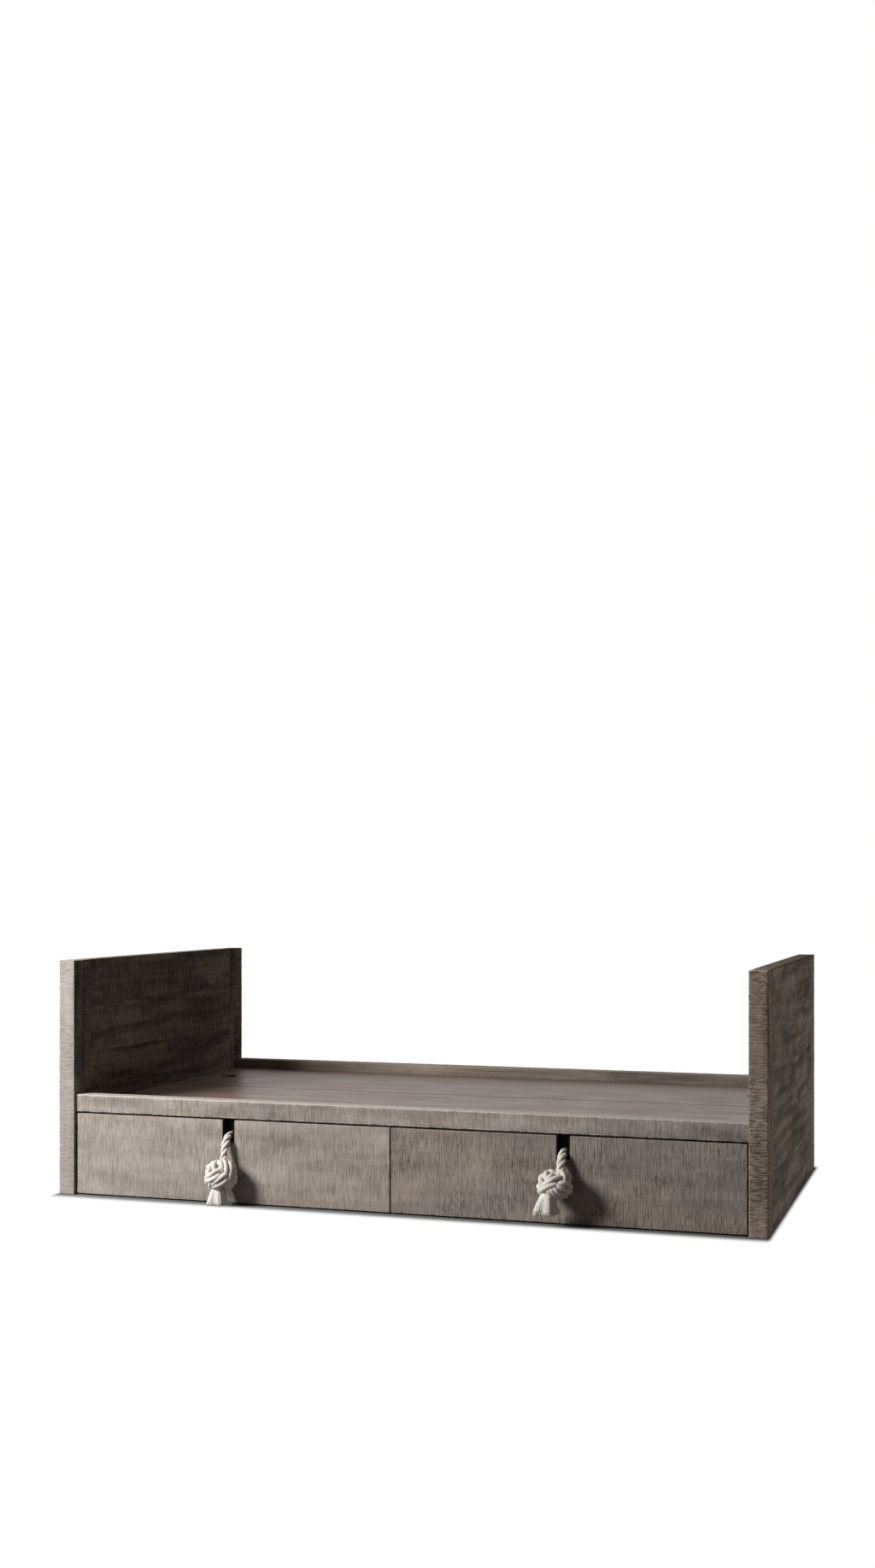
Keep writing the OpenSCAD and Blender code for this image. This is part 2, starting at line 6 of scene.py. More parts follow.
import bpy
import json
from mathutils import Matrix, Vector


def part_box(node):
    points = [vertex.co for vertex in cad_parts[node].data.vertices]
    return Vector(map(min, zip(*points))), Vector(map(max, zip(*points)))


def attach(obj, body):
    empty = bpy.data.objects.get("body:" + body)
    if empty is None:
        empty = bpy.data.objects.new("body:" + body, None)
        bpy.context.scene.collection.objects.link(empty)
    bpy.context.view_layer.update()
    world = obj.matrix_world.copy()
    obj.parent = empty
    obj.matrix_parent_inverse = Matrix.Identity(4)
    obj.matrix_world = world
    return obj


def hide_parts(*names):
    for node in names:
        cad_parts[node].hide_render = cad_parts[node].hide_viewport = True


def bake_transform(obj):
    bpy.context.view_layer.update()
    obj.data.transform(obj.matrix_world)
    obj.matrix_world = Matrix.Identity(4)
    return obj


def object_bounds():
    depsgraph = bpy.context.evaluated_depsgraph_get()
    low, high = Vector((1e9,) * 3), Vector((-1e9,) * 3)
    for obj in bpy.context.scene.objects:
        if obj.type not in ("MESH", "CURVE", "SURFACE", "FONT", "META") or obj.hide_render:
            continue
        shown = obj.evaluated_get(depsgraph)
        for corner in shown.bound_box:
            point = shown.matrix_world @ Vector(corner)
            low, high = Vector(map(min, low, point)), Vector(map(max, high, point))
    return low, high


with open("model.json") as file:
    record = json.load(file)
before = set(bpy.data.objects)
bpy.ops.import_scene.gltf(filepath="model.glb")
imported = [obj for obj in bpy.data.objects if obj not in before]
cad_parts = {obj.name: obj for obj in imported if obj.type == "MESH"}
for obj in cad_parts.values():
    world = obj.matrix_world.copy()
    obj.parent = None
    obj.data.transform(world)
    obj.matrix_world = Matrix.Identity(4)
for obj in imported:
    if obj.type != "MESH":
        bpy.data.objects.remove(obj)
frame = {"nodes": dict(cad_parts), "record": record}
cad_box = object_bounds()

# %% Tools for the rest of the notebook
import json
import math

import bpy
import numpy as np

scene = bpy.context.scene
scene.view_settings.view_transform = "Standard"
MM = 0.001

# %% [markdown]
# The photograph was taken with the camera held level, a little above the platform. Two vanishing points
# give its focal length and heading. A level camera keeps the uprights upright, and a small vertical
# shift of the lens, as on a view camera, then slides the picture up to where the bed stands in it.

# %% Camera
PHOTO_H = 1836
FOCAL_PX = 1977.5
HORIZON_ROW = 1043.0
CAMERA_AT = (1.566, -4.896, 0.882)
HEADING_DEG = 18.275
lens = bpy.data.cameras.new("camera")
lens.sensor_width = 36.0
lens.lens = FOCAL_PX / PHOTO_H * lens.sensor_width
lens.shift_y = (HORIZON_ROW - PHOTO_H / 2) / PHOTO_H
camera = bpy.data.objects.new("camera", lens)
camera.location = CAMERA_AT
camera.rotation_euler = (math.radians(90), 0, math.radians(HEADING_DEG))
scene.collection.objects.link(camera)
scene.camera = camera
print(f"lens {lens.lens:.2f} mm, shift {lens.shift_y:.4f}")

# %% [markdown]
# Every new piece is a mesh worked out as whole arrays. This helper puts such arrays into Blender in one
# go: points, four-sided faces, closing caps with many corners, a UV map and any values that the points
# carry for the materials.

# %% Arrays into a mesh
def mesh_piece(name, points, quads, caps=(), uv=None, values=None):
    """Makes an object at the origin. caps are single faces; uv has one row for each quad corner;
    values maps an attribute's name to one number, or three, for each point."""
    mesh = bpy.data.meshes.new(name)
    corners = np.concatenate([quads.ravel()] + [np.asarray(c) for c in caps])
    sizes = np.concatenate([np.full(len(quads), 4), [len(c) for c in caps]]).astype(int)
    starts = np.concatenate([[0], np.cumsum(sizes)[:-1]])
    mesh.vertices.add(len(points))
    mesh.vertices.foreach_set("co", points.astype(np.float32).ravel())
    mesh.loops.add(len(corners))
    mesh.loops.foreach_set("vertex_index", corners.astype(np.int32))
    mesh.polygons.add(len(sizes))
    mesh.polygons.foreach_set("loop_start", starts.astype(np.int32))
    mesh.update(calc_edges=True)
    mesh.polygons.foreach_set("use_smooth", np.ones(len(sizes), bool))
    if uv is not None:
        layer = mesh.uv_layers.new(name="surface")
        padded = np.zeros((len(corners), 2), np.float32)
        padded[: len(uv)] = uv
        layer.data.foreach_set("uv", padded.ravel())
    for key, value in (values or {}).items():
        value = np.asarray(value, np.float32)
        kind = "FLOAT_VECTOR" if value.ndim == 2 else "FLOAT"
        field = mesh.attributes.new(key, kind, "POINT")
        field.data.foreach_set("vector" if value.ndim == 2 else "value", value.ravel())
    piece = bpy.data.objects.new(name, mesh)
    scene.collection.objects.link(piece)
    return piece

# %% [markdown]
# Ropes, strands of a knot and yarns are all tubes along smooth lines. Blender's curves could draw them
# one by one, but here many tubes are worked out at once, closed at their ends and with a UV map that runs
# along each of them, which the cotton's pattern needs later.

# %% Smooth lines
def unit(v):
    """Each vector divided by its own length."""
    return v / np.linalg.norm(v, axis=-1, keepdims=True)


def smooth_line(points, step):
    """A Catmull-Rom curve: between two points the path is the cubic whose slope at each of them is
    half the chord of its neighbours. It is then cut to even steps along its length."""
    p = np.asarray(points, float)
    p = np.vstack([2 * p[0] - p[1], p, 2 * p[-1] - p[-2]])
    t = np.linspace(0, 1, 24, endpoint=False)[None, :, None]
    a, b, c, d = (p[i : len(p) - 3 + i, None, :] for i in range(4))
    curve = 0.5 * (2 * b + (c - a) * t + (2 * a - 5 * b + 4 * c - d) * t**2 + (3 * b - a - 3 * c + d) * t**3)
    curve = np.vstack([curve.reshape(-1, 3), p[-2]])
    run = np.concatenate([[0], np.cumsum(np.linalg.norm(np.diff(curve, axis=0), axis=1))])
    even = np.linspace(0, run[-1], max(2, round(run[-1] / step)) + 1)
    return np.stack([np.interp(even, run, curve[:, k]) for k in range(3)], axis=1), run[-1]


# %% Tubes
def tubes(centres, normals, radius, sides):
    """Round tubes along many lines at once, with a cap at both ends. A ring's point lies at the centre
    plus radius times (cos angle * normal + sin angle * the third direction, square to the line and the
    normal). centres and normals are lines x rings x 3."""
    lines, rings = centres.shape[:2]
    along = unit(np.gradient(centres, axis=1))
    out = unit(normals - along * (normals * along).sum(-1, keepdims=True))
    third = np.cross(along, out)
    angle = np.linspace(0, 2 * np.pi, sides, endpoint=False)
    radius = np.broadcast_to(np.asarray(radius, float), (lines, rings))[..., None, None]
    points = centres[:, :, None] + radius * (
        np.cos(angle)[:, None] * out[:, :, None] + np.sin(angle)[:, None] * third[:, :, None]
    )
    line, ring, side = np.meshgrid(np.arange(lines), np.arange(rings - 1), np.arange(sides), indexing="ij")
    here = (line * rings + ring) * sides + side
    beside = (line * rings + ring) * sides + (side + 1) % sides
    quads = np.stack([here, beside, beside + sides, here + sides], -1).reshape(-1, 4)
    run = np.concatenate([[0], np.cumsum(np.linalg.norm(np.diff(centres[0], axis=0), axis=1))])
    u = np.stack([run[ring], run[ring], run[ring + 1], run[ring + 1]], -1)
    v = np.stack([side, side + 1, side + 1, side], -1) / sides
    first = (np.arange(lines) * rings * sides)[:, None] + np.arange(sides)[None, ::-1]
    last = ((np.arange(lines) + 1) * rings - 1)[:, None] * sides + np.arange(sides)[None]
    return points.reshape(-1, 3), quads, [*first, *last], np.stack([u, v], -1).reshape(-1, 2)


# %% [markdown]
# A rope's own line comes first. It is a smooth curve through the same few points that the solid rope
# follows: out of the drawer box, through the notch, over its edge and down into the knot.

# %% Rope routes
# Points as across, back from the face of the drawer front, and up from the bottom of the notch, in mm
TAIL_ROUTE = [[0, 37, 21], [0, 26, 21], [0, 18, 21], [0, 8, 19.7], [0, -2, 15.6], [0, -7.5, 12]]
SWING_CENTRE = [0, -15, 4]
LEFT_ROUTE = [[0, -18.5, -2], [0, -22, -11], [0, -26, -21.5], [0, -30, -33], [0, -34, -45]]
RIGHT_ROUTE = [[0, -17.5, -0.5], [0, -21, -7], [0, -25, -14], [0.5, -29, -20.4]]
LEFT_KNOT = [0, -48, -84.5]
RIGHT_KNOT = [-10, -50, -59.5]
NOTCH_DEPTH = 63 * MM


def pull_origin(side):
    """The point that a pull is measured from: notch middle, face of the front, bottom of the notch."""
    low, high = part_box(side + "_drawer_front")
    return np.array([(low.x + high.x) / 2, low.y, high.z - NOTCH_DEPTH])


# The rope ends inside its knot, so its line goes on from the route's end to a point in the knot
PULLS = {
    "left": {"route": LEFT_ROUTE, "core": [[0, -40, -64], [0, -47, -79]], "knot": LEFT_KNOT},
    "right": {"route": RIGHT_ROUTE, "core": [[-3, -40, -42], [-9, -48, -66]], "knot": RIGHT_KNOT},
}
for side, pull in PULLS.items():
    pull["at"] = pull_origin(side)
    mm = np.array(TAIL_ROUTE + [SWING_CENTRE] + pull["route"] + pull["core"], float)
    pull["line"], pull["length"] = smooth_line(mm * MM + pull["at"], 1.5 * MM)
    pull["centre"] = np.array(pull["knot"]) * MM + pull["at"]
    print(side, "rope:", round(pull["length"] * 1000), "mm long")

# %% [markdown]
# A laid rope is three strands that wind round each other. A twisted texture on one tube would look flat
# at the outline, so each strand is a tube of its own, whose middle is a helix round the rope's line.

# %% Laid ropes
STRAND_D = 9.3 * MM
STRAND_OFF = 5.4 * MM
LAY_LENGTH = 62 * MM


def laid_rope(name, line, phase, swell):
    """Three tubes; the middle of strand k is the line plus STRAND_OFF times (cos a * across + sin a *
    square), where a grows by a full turn in each lay length, and k adds a third of a turn. Radius and
    STRAND_OFF are both times swell, which runs through the given values at even steps."""
    along = unit(np.gradient(line, axis=0))
    across = unit(np.array([1.0, 0, 0]) - along * along[:, :1])
    square = np.cross(along, across)
    run = np.arange(len(line)) * np.linalg.norm(line[1] - line[0])
    a = 2 * np.pi * (run[None] / LAY_LENGTH + np.arange(3)[:, None] / 3) + phase
    away = np.cos(a)[..., None] * across + np.sin(a)[..., None] * square
    size = np.interp(np.linspace(0, 1, len(line)), np.linspace(0, 1, len(swell)), swell)
    points, quads, caps, uv = tubes(line + STRAND_OFF * size[:, None] * away, away, STRAND_D / 2 * size, 14)
    return mesh_piece(name, points, quads, caps, uv)


# Over the edge of the notch the rope is pressed and swells
SWELL = {"left": (0.98, 0.98, 1.12, 1.12, 1.0, 0.9, 0.9), "right": (0.98, 0.98, 1.2, 1.26, 1.15, 0.95, 0.9)}
ropes = {}
for side, phase in (("left", 0.4), ("right", 1.9)):
    ropes[side] = laid_rope(side + "_laid_rope", PULLS[side]["line"], phase, SWELL[side])
    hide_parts(side + "_rope_tail", side + "_pull_rope")
print("ropes:", [len(r.data.polygons) for r in ropes.values()], "faces")

# %% [markdown]
# Each knot is tied by hand, so no formula gives its crossings. Its strands are drawn as smooth lines on a
# ball, each through a few points read off the photograph: how far across and up from the middle of the
# knot, in mm, and how high it rides there. Above 0 a strand lies on top, and below 0 it dips under.

# %% Strands of the knots
LEFT_STRANDS = [
    [(-14, 37, -0.6), (-31, 34, 0.2), (-37, 26, 0.5), (-40, 14, 0.5), (-42, 1, 0.3), (-40, -10, -0.3),
     (-34, -18, -1)],
    [(-12, 30, -0.8), (-22, 30, 0.1), (-27, 22, 0.7), (-31, 12, 0.7), (-34, 1, -0.2), (-33, -7, -1)],
    [(-18, 14, -0.6), (-19, 22, 0.5), (-16, 30, 0.8), (-7, 36, 0.4), (2, 38, -0.5)],
    [(-4, 40, -0.3), (-2, 33, 0.7), (2, 23, 0.9), (2, 15, 0.3), (1, 7, -0.9)],
    [(7, 40, -0.2), (10, 33, 0.7), (12, 22, 1), (13, 10, 0.9), (10, 1, 0.1), (6, -6, -0.9)],
    [(15, 39, -0.3), (21, 33, 0.6), (24, 22, 0.9), (24, 10, 1), (22, -2, 1), (20, -14, 0.5),
     (18, -23, -0.8)],
    [(18, 36, -0.8), (26, 35, 0.3), (32, 29, 0.8), (34, 20, 0.5), (33, 12, -0.8)],
    [(28, 22, -0.9), (38, 23, 0), (43, 15, 0.3), (45, 2, 0.3), (42, -9, 0.2), (31, -17, 0.6),
     (22, -20, -0.6)],
    [(34, 17, -0.8), (34, 6, 0.5), (30, -6, 0.7), (28, -15, 0.2), (25, -23, -0.9)],
    [(-45, -10, -0.6), (-38, -5, 0.4), (-26, 2, 1), (-14, 10, 1.2), (-2, 13, 1), (6, 9, 0.2),
     (10, -1, -0.9)],
    [(-44, -20, -0.6), (-36, -14, 0.5), (-25, -10, 1), (-14, -5, 0.9), (-6, 1, 0.2), (-1, 6, -0.8)],
    [(-22, -20, -0.8), (-14, -16, 0.5), (-4, -8, 0.9), (6, -1, 1.1), (14, 2, 0.6), (18, 9, -0.8)],
    [(-26, -33, -0.3), (-18, -29, 0.6), (-6, -23, 1.1), (6, -17, 1.1), (15, -9, 0.6), (20, -1, -0.8)],
    [(12, -22, -0.9), (20, -21, 0.5), (33, -18, 0.7), (42, -14, 0.2), (47, -7, -0.8)],
    [(9, -31, -0.7), (18, -28, 0.6), (31, -28, 0.6), (42, -25, 0), (47, -18, -0.9)],
    [(-4, -36, -0.5), (7, -37, 0.4), (20, -38, 0.5), (33, -36, 0.3), (42, -31, -0.5)],
    [(-40, -18, -0.5), (-34, -25, 0.2), (-26, -27, 0.3), (-18, -25, -0.8)],
]
RIGHT_STRANDS = [
    [(-3, 31, -0.7), (-12, 34, 0.3), (-19, 30, 0.8), (-21, 20, 0.9), (-18, 11, 0.3), (-15, 2, -0.9)],
    [(-21, 20, -0.8), (-28, 21, 0.1), (-33, 15, 0.5), (-33, 6, 0.4), (-28, -1, -0.8)],
    [(-27, 2, -0.9), (-36, 0, 0), (-42, -6, 0.4), (-43, -15, 0.3), (-38, -24, -0.3), (-28, -30, -1)],
    [(-1, 27, -0.6), (-8, 22, 0.6), (-13, 15, 0.9), (-17, 5, 0.6), (-23, -2, -0.6)],
    [(23, 12, -0.8), (17, 17, 0.3), (8, 17, 1), (-3, 13, 1.2), (-13, 7, 1.1), (-23, 2, 0.7),
     (-31, -3, 0.2), (-37, -8, -0.7)],
    [(6, 5, -0.8), (1, 1, 0.5), (-10, -1, 1.1), (-21, -6, 1.2), (-30, -11, 1), (-39, -14, 0.3),
     (-43, -19, -0.7)],
    [(-18, -15, -0.5), (-27, -14, 0.3), (-37, -17, 0.4), (-40, -24, 0.1), (-35, -31, -0.9)],
    [(-3, 26, -0.8), (1, 31, 0.2), (9, 31, 0.9), (17, 26, 1.2), (23, 18, 1.1), (24, 9, 0.1),
     (23, 3, -0.9)],
    [(17, 28, -0.9), (26, 25, 0), (33, 20, 0.4), (35, 12, 0.4), (34, 3, -0.8)],
    [(8, 6, -0.9), (16, 5, 0.4), (27, 3, 0.9), (37, -1, 0.6), (42, -9, 0.3), (41, -17, -0.3),
     (35, -24, -1)],
    [(1, 1, -0.9), (6, -1, 0.5), (15, -6, 1), (24, -10, 0.9), (34, -15, 0.4), (42, -21, -0.6)],
    [(-6, -3, -0.8), (1, -9, 0.8), (10, -17, 1), (21, -23, 0.7), (31, -27, 0.1), (39, -32, -0.9)],
    [(-13, -6, -0.8), (-8, -10, 0.7), (0, -19, 1), (9, -27, 0.7), (20, -32, 0.1), (31, -37, -0.9)],
    [(-19, -9, -0.8), (-15, -13, 0.6), (-8, -21, 0.8), (1, -29, 0.4), (10, -35, -0.3), (20, -40, -1)],
    [(-31, 17, -0.8), (-39, 12, -0.2), (-43, 4, -0.2), (-45, -6, -0.5)],
    [(-37, 12, -0.8), (-46, 8, 0.1), (-52, -1, 0.1), (-53, -12, -0.7)],
]
STRANDS = {"left": LEFT_STRANDS, "right": RIGHT_STRANDS}
BALLS = {"left": np.array([38.7, 35, 34.5]) * MM, "right": np.array([39.5, 36, 31]) * MM}
STRAND_THICK = {"left": 13.2 * MM, "right": 13.8 * MM}


def on_ball(across, up, half):
    """The point of a boxy ball that lies at across and up as seen from the front, and the way out of it.
    r is the 2.6th root of |x / a| ^ 2.6 + |z / c| ^ 2.6, and the depth is b * sqrt(1 - r * r). Where r
    is more than 1 the point has gone over the edge, and is laid on the back at 2 - r."""
    r = (np.abs(across / half[0]) ** 2.6 + np.abs(up / half[2]) ** 2.6) ** (1 / 2.6)
    folded = np.where(r > 1, 2 - r, r)
    share = folded / np.maximum(r, 0.01)
    depth = np.sqrt(np.maximum(1 - folded**2, 0)) * np.where(r > 1, 1, -1)
    points = np.stack([across * share, depth * half[1], up * share], -1)
    return points, unit(points / half**2)


def knot_strands(table, half, thick, steps):
    """Middle lines and outward directions of one knot's strands, for the front and, turned by half a
    turn, for the back. A strand rides a third of its thickness up, or seven tenths down, per unit."""
    lines, ways = [], []
    for strand in table:
        curve, _ = smooth_line(np.array(strand, float) * (MM, MM, 10 * MM), 0.3 * MM)
        curve = curve[np.linspace(0, len(curve) - 1, steps).round().astype(int)]
        points, out = on_ball(curve[:, 0], curve[:, 1], half)
        lift = curve[:, 2] / (10 * MM)
        lift = lift * np.where(lift > 0, 0.33, 0.7) * thick
        lines.append(points + out * lift[:, None])
        ways.append(out)
    lines, ways = np.array(lines), np.array(ways)
    half_turn = np.array([-1, -1, 1])
    return np.concatenate([lines, lines * half_turn]), np.concatenate([ways, ways * half_turn])


# %% [markdown]
# The inside of a knot and of a tassel is a plain closed form: rings of points, one above the other, with
# faces between them and a cap on both ends. Two small functions make such a form and join several.

# %% Closed shells out of rings
def closed_rings(points, falling=False):
    """A closed surface through rings x sides x 3 points, with a flat cap on both ends. The rings turn
    left and go up, or down where falling is set, so that the faces point outward."""
    rings, sides = points.shape[:2]
    ring, side = np.meshgrid(np.arange(rings - 1), np.arange(sides), indexing="ij")
    here, beside = ring * sides + side, ring * sides + (side + 1) % sides
    corners = [here, beside, beside + sides, here + sides]
    caps = [np.arange(sides)[::-1], (rings - 1) * sides + np.arange(sides)]
    if falling:
        corners = corners[:1] + corners[:0:-1]
        caps = [cap[::-1] for cap in caps]
    return points.reshape(-1, 3), np.stack(corners, -1).reshape(-1, 4), caps


def joined(*shells):
    """Closed shells put together as one: points, faces, caps and uv, which is 0 where a shell has none."""
    count = 0
    parts = []
    for points, quads, caps, *uv in shells:
        uv = uv[0] if uv else np.zeros((quads.size, 2))
        parts.append((points, quads + count, [cap + count for cap in caps], uv))
        count += len(points)
    points, quads, caps, uv = zip(*parts)
    return np.concatenate(points), np.concatenate(quads), sum(caps, []), np.concatenate(uv)


def ball_core(half, rows=20, columns=28):
    """A closed ball that fills the middle of a knot: half sizes times sine and cosine of two angles."""
    up = np.linspace(-np.pi / 2, np.pi / 2, rows + 2)[1:-1, None]
    spin = np.linspace(0, 2 * np.pi, columns, endpoint=False)[None]
    ball = [np.cos(up) * np.cos(spin), np.cos(up) * np.sin(spin), np.sin(up) + 0 * spin]
    return closed_rings(np.stack(ball, -1) * half)


# %% [markdown]
# A knot is drawn upright and facing front, because that is how it is read off the photograph. It is then
# turned to where it hangs. A closed ball inside it carries the strands and fills the gaps between them.

# %% Knots
def turned(points, heading, tip, centre):
    """Points tipped by tip degrees about X, then turned by heading degrees about Z, then moved."""
    a, b = math.radians(heading), math.radians(tip)
    about_z = np.array([[math.cos(a), -math.sin(a), 0], [math.sin(a), math.cos(a), 0], [0, 0, 1]])
    about_x = np.array([[1, 0, 0], [0, math.cos(b), -math.sin(b)], [0, math.sin(b), math.cos(b)]])
    return points @ about_x.T @ about_z.T + centre


def knot_piece(name, table, half, thick, place, steps=56, sides=14):
    """One knot: tubes that are a little thinner at their hidden ends, and the core that they lie on."""
    lines, out = knot_strands(table, half, thick, steps)
    t = np.linspace(-1, 1, lines.shape[1])
    strands = tubes(lines, out, thick / 2 * (1 - 0.25 * t[None] ** 6), sides)
    points, quads, caps, uv = joined(strands, ball_core(half - 0.12 * thick))
    return mesh_piece(name, turned(points, *place), quads, caps, uv)


# Each knot shows its face to the camera, which stands to the right of it and above
TOWARDS = {"left": (25.6, -9), "right": (14.2, -10)}
# The stopper inside the drawer is the same knot, made small and with every other strand
SMALL = 0.42
SMALL_THICK = 8 * MM
knots = {}
for side, pull in PULLS.items():
    table = STRANDS[side]
    knots[side] = knot_piece(
        side + "_tied_knot", table, BALLS[side], STRAND_THICK[side], (*TOWARDS[side], pull["centre"])
    )
    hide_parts(side + "_pull_knot")
    low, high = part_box(side + "_stopper_knot")
    small_table = [[(x * SMALL, z * SMALL, lift) for x, z, lift in strand] for strand in table[::2]]
    middle = np.array((low + high) / 2)
    stopper = knot_piece(
        side + "_stopper", small_table, BALLS[side] * SMALL, SMALL_THICK, (0, 0, middle), 20, 8
    )
    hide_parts(side + "_stopper_knot")
    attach(stopper, side + "_drawer")
    knots[side + "_stopper"] = stopper
    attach(knots[side], side + "_pull")
print("knots:", {k: len(v.data.polygons) for k, v in knots.items()})

# %% [markdown]
# Out of each knot the strands come unlaid into yarns and are cut. A tassel is some thousand thin yarns in
# one or two bunches: each starts in the narrow neck, bends outward like a bell on its way down, keeps to
# the folds of its bunch and ends at its own height. Many fine ones look soft, a few thick ones like sticks.

# %% Yarns of a bunch
def bell(t, a, neck, spread, folds):
    """A bunch's radius: neck + (spread - neck) * t ^ 0.6, times 1 + 0.18 * t * cos(folds * a)."""
    return (neck + (spread - neck) * t**0.6) * (1 + 0.18 * t * np.cos(folds * a))


def bunch_core(top, bottom, neck, spread, folds, rings=14, sides=60):
    """The soft inside of a bunch, a closed bell at 0.96 of its radius and 0.92 of its length."""
    t = np.linspace(0, 0.92, rings)[:, None]
    a = np.linspace(0, 2 * np.pi, sides, endpoint=False)[None]
    radius = 0.96 * bell(t, a, neck, spread, folds)
    middle = np.array(top) + (np.array(bottom) - np.array(top)) * t[..., None]
    points = middle + np.stack([radius * np.cos(a), radius * np.sin(a), 0 * radius], -1)
    return closed_rings(points, falling=True)


def yarn_lines(draw, top, bottom, neck, spread, yarns, folds, rings=8):
    """Middle lines of one bunch. Yarn i lies at the share sqrt(q) of the bunch's radius and at angle a,
    with q and a random. At t of the way down the bunch's middle is top + (bottom - top) * t."""
    q, a = 0.72 + 0.28 * draw.random((yarns, 1)), draw.random((yarns, 1)) * 2 * np.pi
    t = np.linspace(0, 1, rings)[None] * (0.93 + 0.13 * draw.random((yarns, 1)) - 0.1 * q**2)
    radius = bell(t, a, neck, spread, folds) * np.sqrt(q)
    wave = 1.2 * MM * np.sin(t * (5 + 6 * draw.random((yarns, 1))) + 7 * draw.random((yarns, 1))) * t
    middle = np.array(top) + (np.array(bottom) - np.array(top)) * t[..., None]
    away = np.stack([np.cos(a), np.sin(a), 0 * a], -1)
    beside = np.stack([-np.sin(a), np.cos(a), 0 * a], -1)
    lines = middle + radius[..., None] * away + wave[..., None] * beside
    return lines, np.broadcast_to(away, lines.shape)


# %% Frayed tassels
# Each bunch: its top and bottom as across, back and up from the knot's middle, then the radius of its
# neck and of its lower end, all in mm, and how many yarns and folds it has
BUNCHES = {
    "left": [((-10, -8, -28), (-13, -8, -82), 9, 28, 760, 5), ((14, 0, -28), (26, 0, -78), 7, 15, 300, 3)],
    "right": [((-19, -19, -11), (-25, -10, -76), 6, 34, 1000, 5)],
}
tassels = {}
for side, seed in (("left", 3), ("right", 8)):
    draw = np.random.default_rng(seed)
    bunches = [([np.array(v) * MM for v in bunch[:4]], *bunch[4:]) for bunch in BUNCHES[side]]
    made = [yarn_lines(draw, *form, yarns, folds) for form, yarns, folds in bunches]
    lines, out = (np.concatenate(part) for part in zip(*made))
    thick = (0.6 + 0.3 * draw.random((len(lines), 1))) * MM * np.linspace(1, 0.7, lines.shape[1])
    cores = [bunch_core(*form, folds) for form, yarns, folds in bunches]
    points, quads, caps, uv = joined(tubes(lines, out, thick, 5), *cores)
    points = turned(points, TOWARDS[side][0], 0, PULLS[side]["centre"])
    tassels[side] = mesh_piece(side + "_frayed_tassel", points, quads, caps, uv)
    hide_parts(side + "_pull_tassel")
    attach(tassels[side], side + "_pull")
print("tassels:", {k: len(v.data.polygons) for k, v in tassels.items()})

# %% [markdown]
# Each rope's placement is baked into its points, so its mesh stays where it was made.

for side, pull in PULLS.items():
    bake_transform(ropes[side])

# %% [markdown]
# The boards come rough off a saw: their edges are worn round and a little ragged, and the blade has left
# shallow kerfs across the grain. A plain box can't show that. Each board is a closed grid instead, drawn
# in at its edges, and then pressed in along the kerfs by a repeatable noise.

# %% Repeatable noise
MIXERS = np.array([73856093, 19349663, 83492791])


def lattice(places, seed):
    """Value noise from 0 to 1: each whole-number corner has its own scrambled number, and a point
    between corners gets their smoothly weighted mean, with the weight w * w * (3 - 2 w). The
    large odd numbers only scramble, so that neighbouring corners get numbers that look unrelated."""
    cell = np.floor(places).astype(np.int64)
    w = places - cell
    w = w * w * (3 - 2 * w)
    total = 0
    for step in np.ndindex(*(2,) * places.shape[1]):
        corner = cell + np.array(step)
        h = (corner * MIXERS[: places.shape[1]]).sum(1) + seed * 2654435761
        h = (h & 0xFFFFFFFF) ^ ((h & 0xFFFFFFFF) >> 15)
        h = (h * 2246822519) & 0xFFFFFFFF
        h = ((h ^ (h >> 13)) * 3266489917) & 0xFFFFFFFF
        value = (h ^ (h >> 16)) / 0xFFFFFFFF
        total = total + value * np.prod(np.where(np.array(step), w, 1 - w), axis=1)
    return total


def ease_in(value, low, high):
    """0 below low, 1 above high, and a smooth step between."""
    t = np.clip((value - low) / (high - low), 0, 1)
    return t * t * (3 - 2 * t)


# %% [markdown]
# A board could be a cube with a Bevel and a Displace modifier, but then the kerfs would smear where the
# faces stretch. Here every grid point knows where it lies along and across the grain, so a kerf runs on
# round the board, and the same numbers go into the mesh as values for the finish.

# %% Grid of a board
X, Y, Z = 0, 1, 2
# A way points mostly along an axis where more than this share of it does
MOSTLY = 0.7
SPACING = {"fine": 1.8 * MM, "middle": 2.4 * MM, "plain": 6 * MM}


def grid_lines(low, high, step, ease):
    """Places along one side of a board: even steps between the eased edges, and inside each edge
    places at ease * (1 - tan angle) for 45, 30 and 15 degrees, which give the rounding even arcs."""
    edge = ease * (1 - np.tan(np.radians([45, 30, 15])))
    inner = np.linspace(low + ease, high - ease, max(2, round((high - low) / step)) + 1)
    return np.concatenate([low + edge, inner, (high - edge)[::-1]])


def box_shell(lines):
    """The outside of a box as one closed grid. A point is a crossing of grid lines on one of the six
    sides, and points with the same three line numbers are one point."""
    n = [len(family) for family in lines]
    quads = []
    for axis in range(3):
        u, v = (axis + 1) % 3, (axis + 2) % 3
        i, j = np.meshgrid(np.arange(n[u] - 1), np.arange(n[v] - 1), indexing="ij")
        for end in (0, n[axis] - 1):
            corners = []
            for du, dv in ((0, 0), (1, 0), (1, 1), (0, 1)):
                place = {axis: np.full(i.shape, end), u: i + du, v: j + dv}
                corners.append(((place[0] * n[1] + place[1]) * n[2] + place[2]).ravel())
            side = np.stack(corners, axis=1)
            quads.append(side if end else side[:, ::-1])
    used, quads = np.unique(np.concatenate(quads), return_inverse=True)
    index = np.stack(np.unravel_index(used, n), axis=1)
    points = np.stack([lines[k][index[:, k]] for k in range(3)], axis=1)
    return points, quads.reshape(-1, 4)


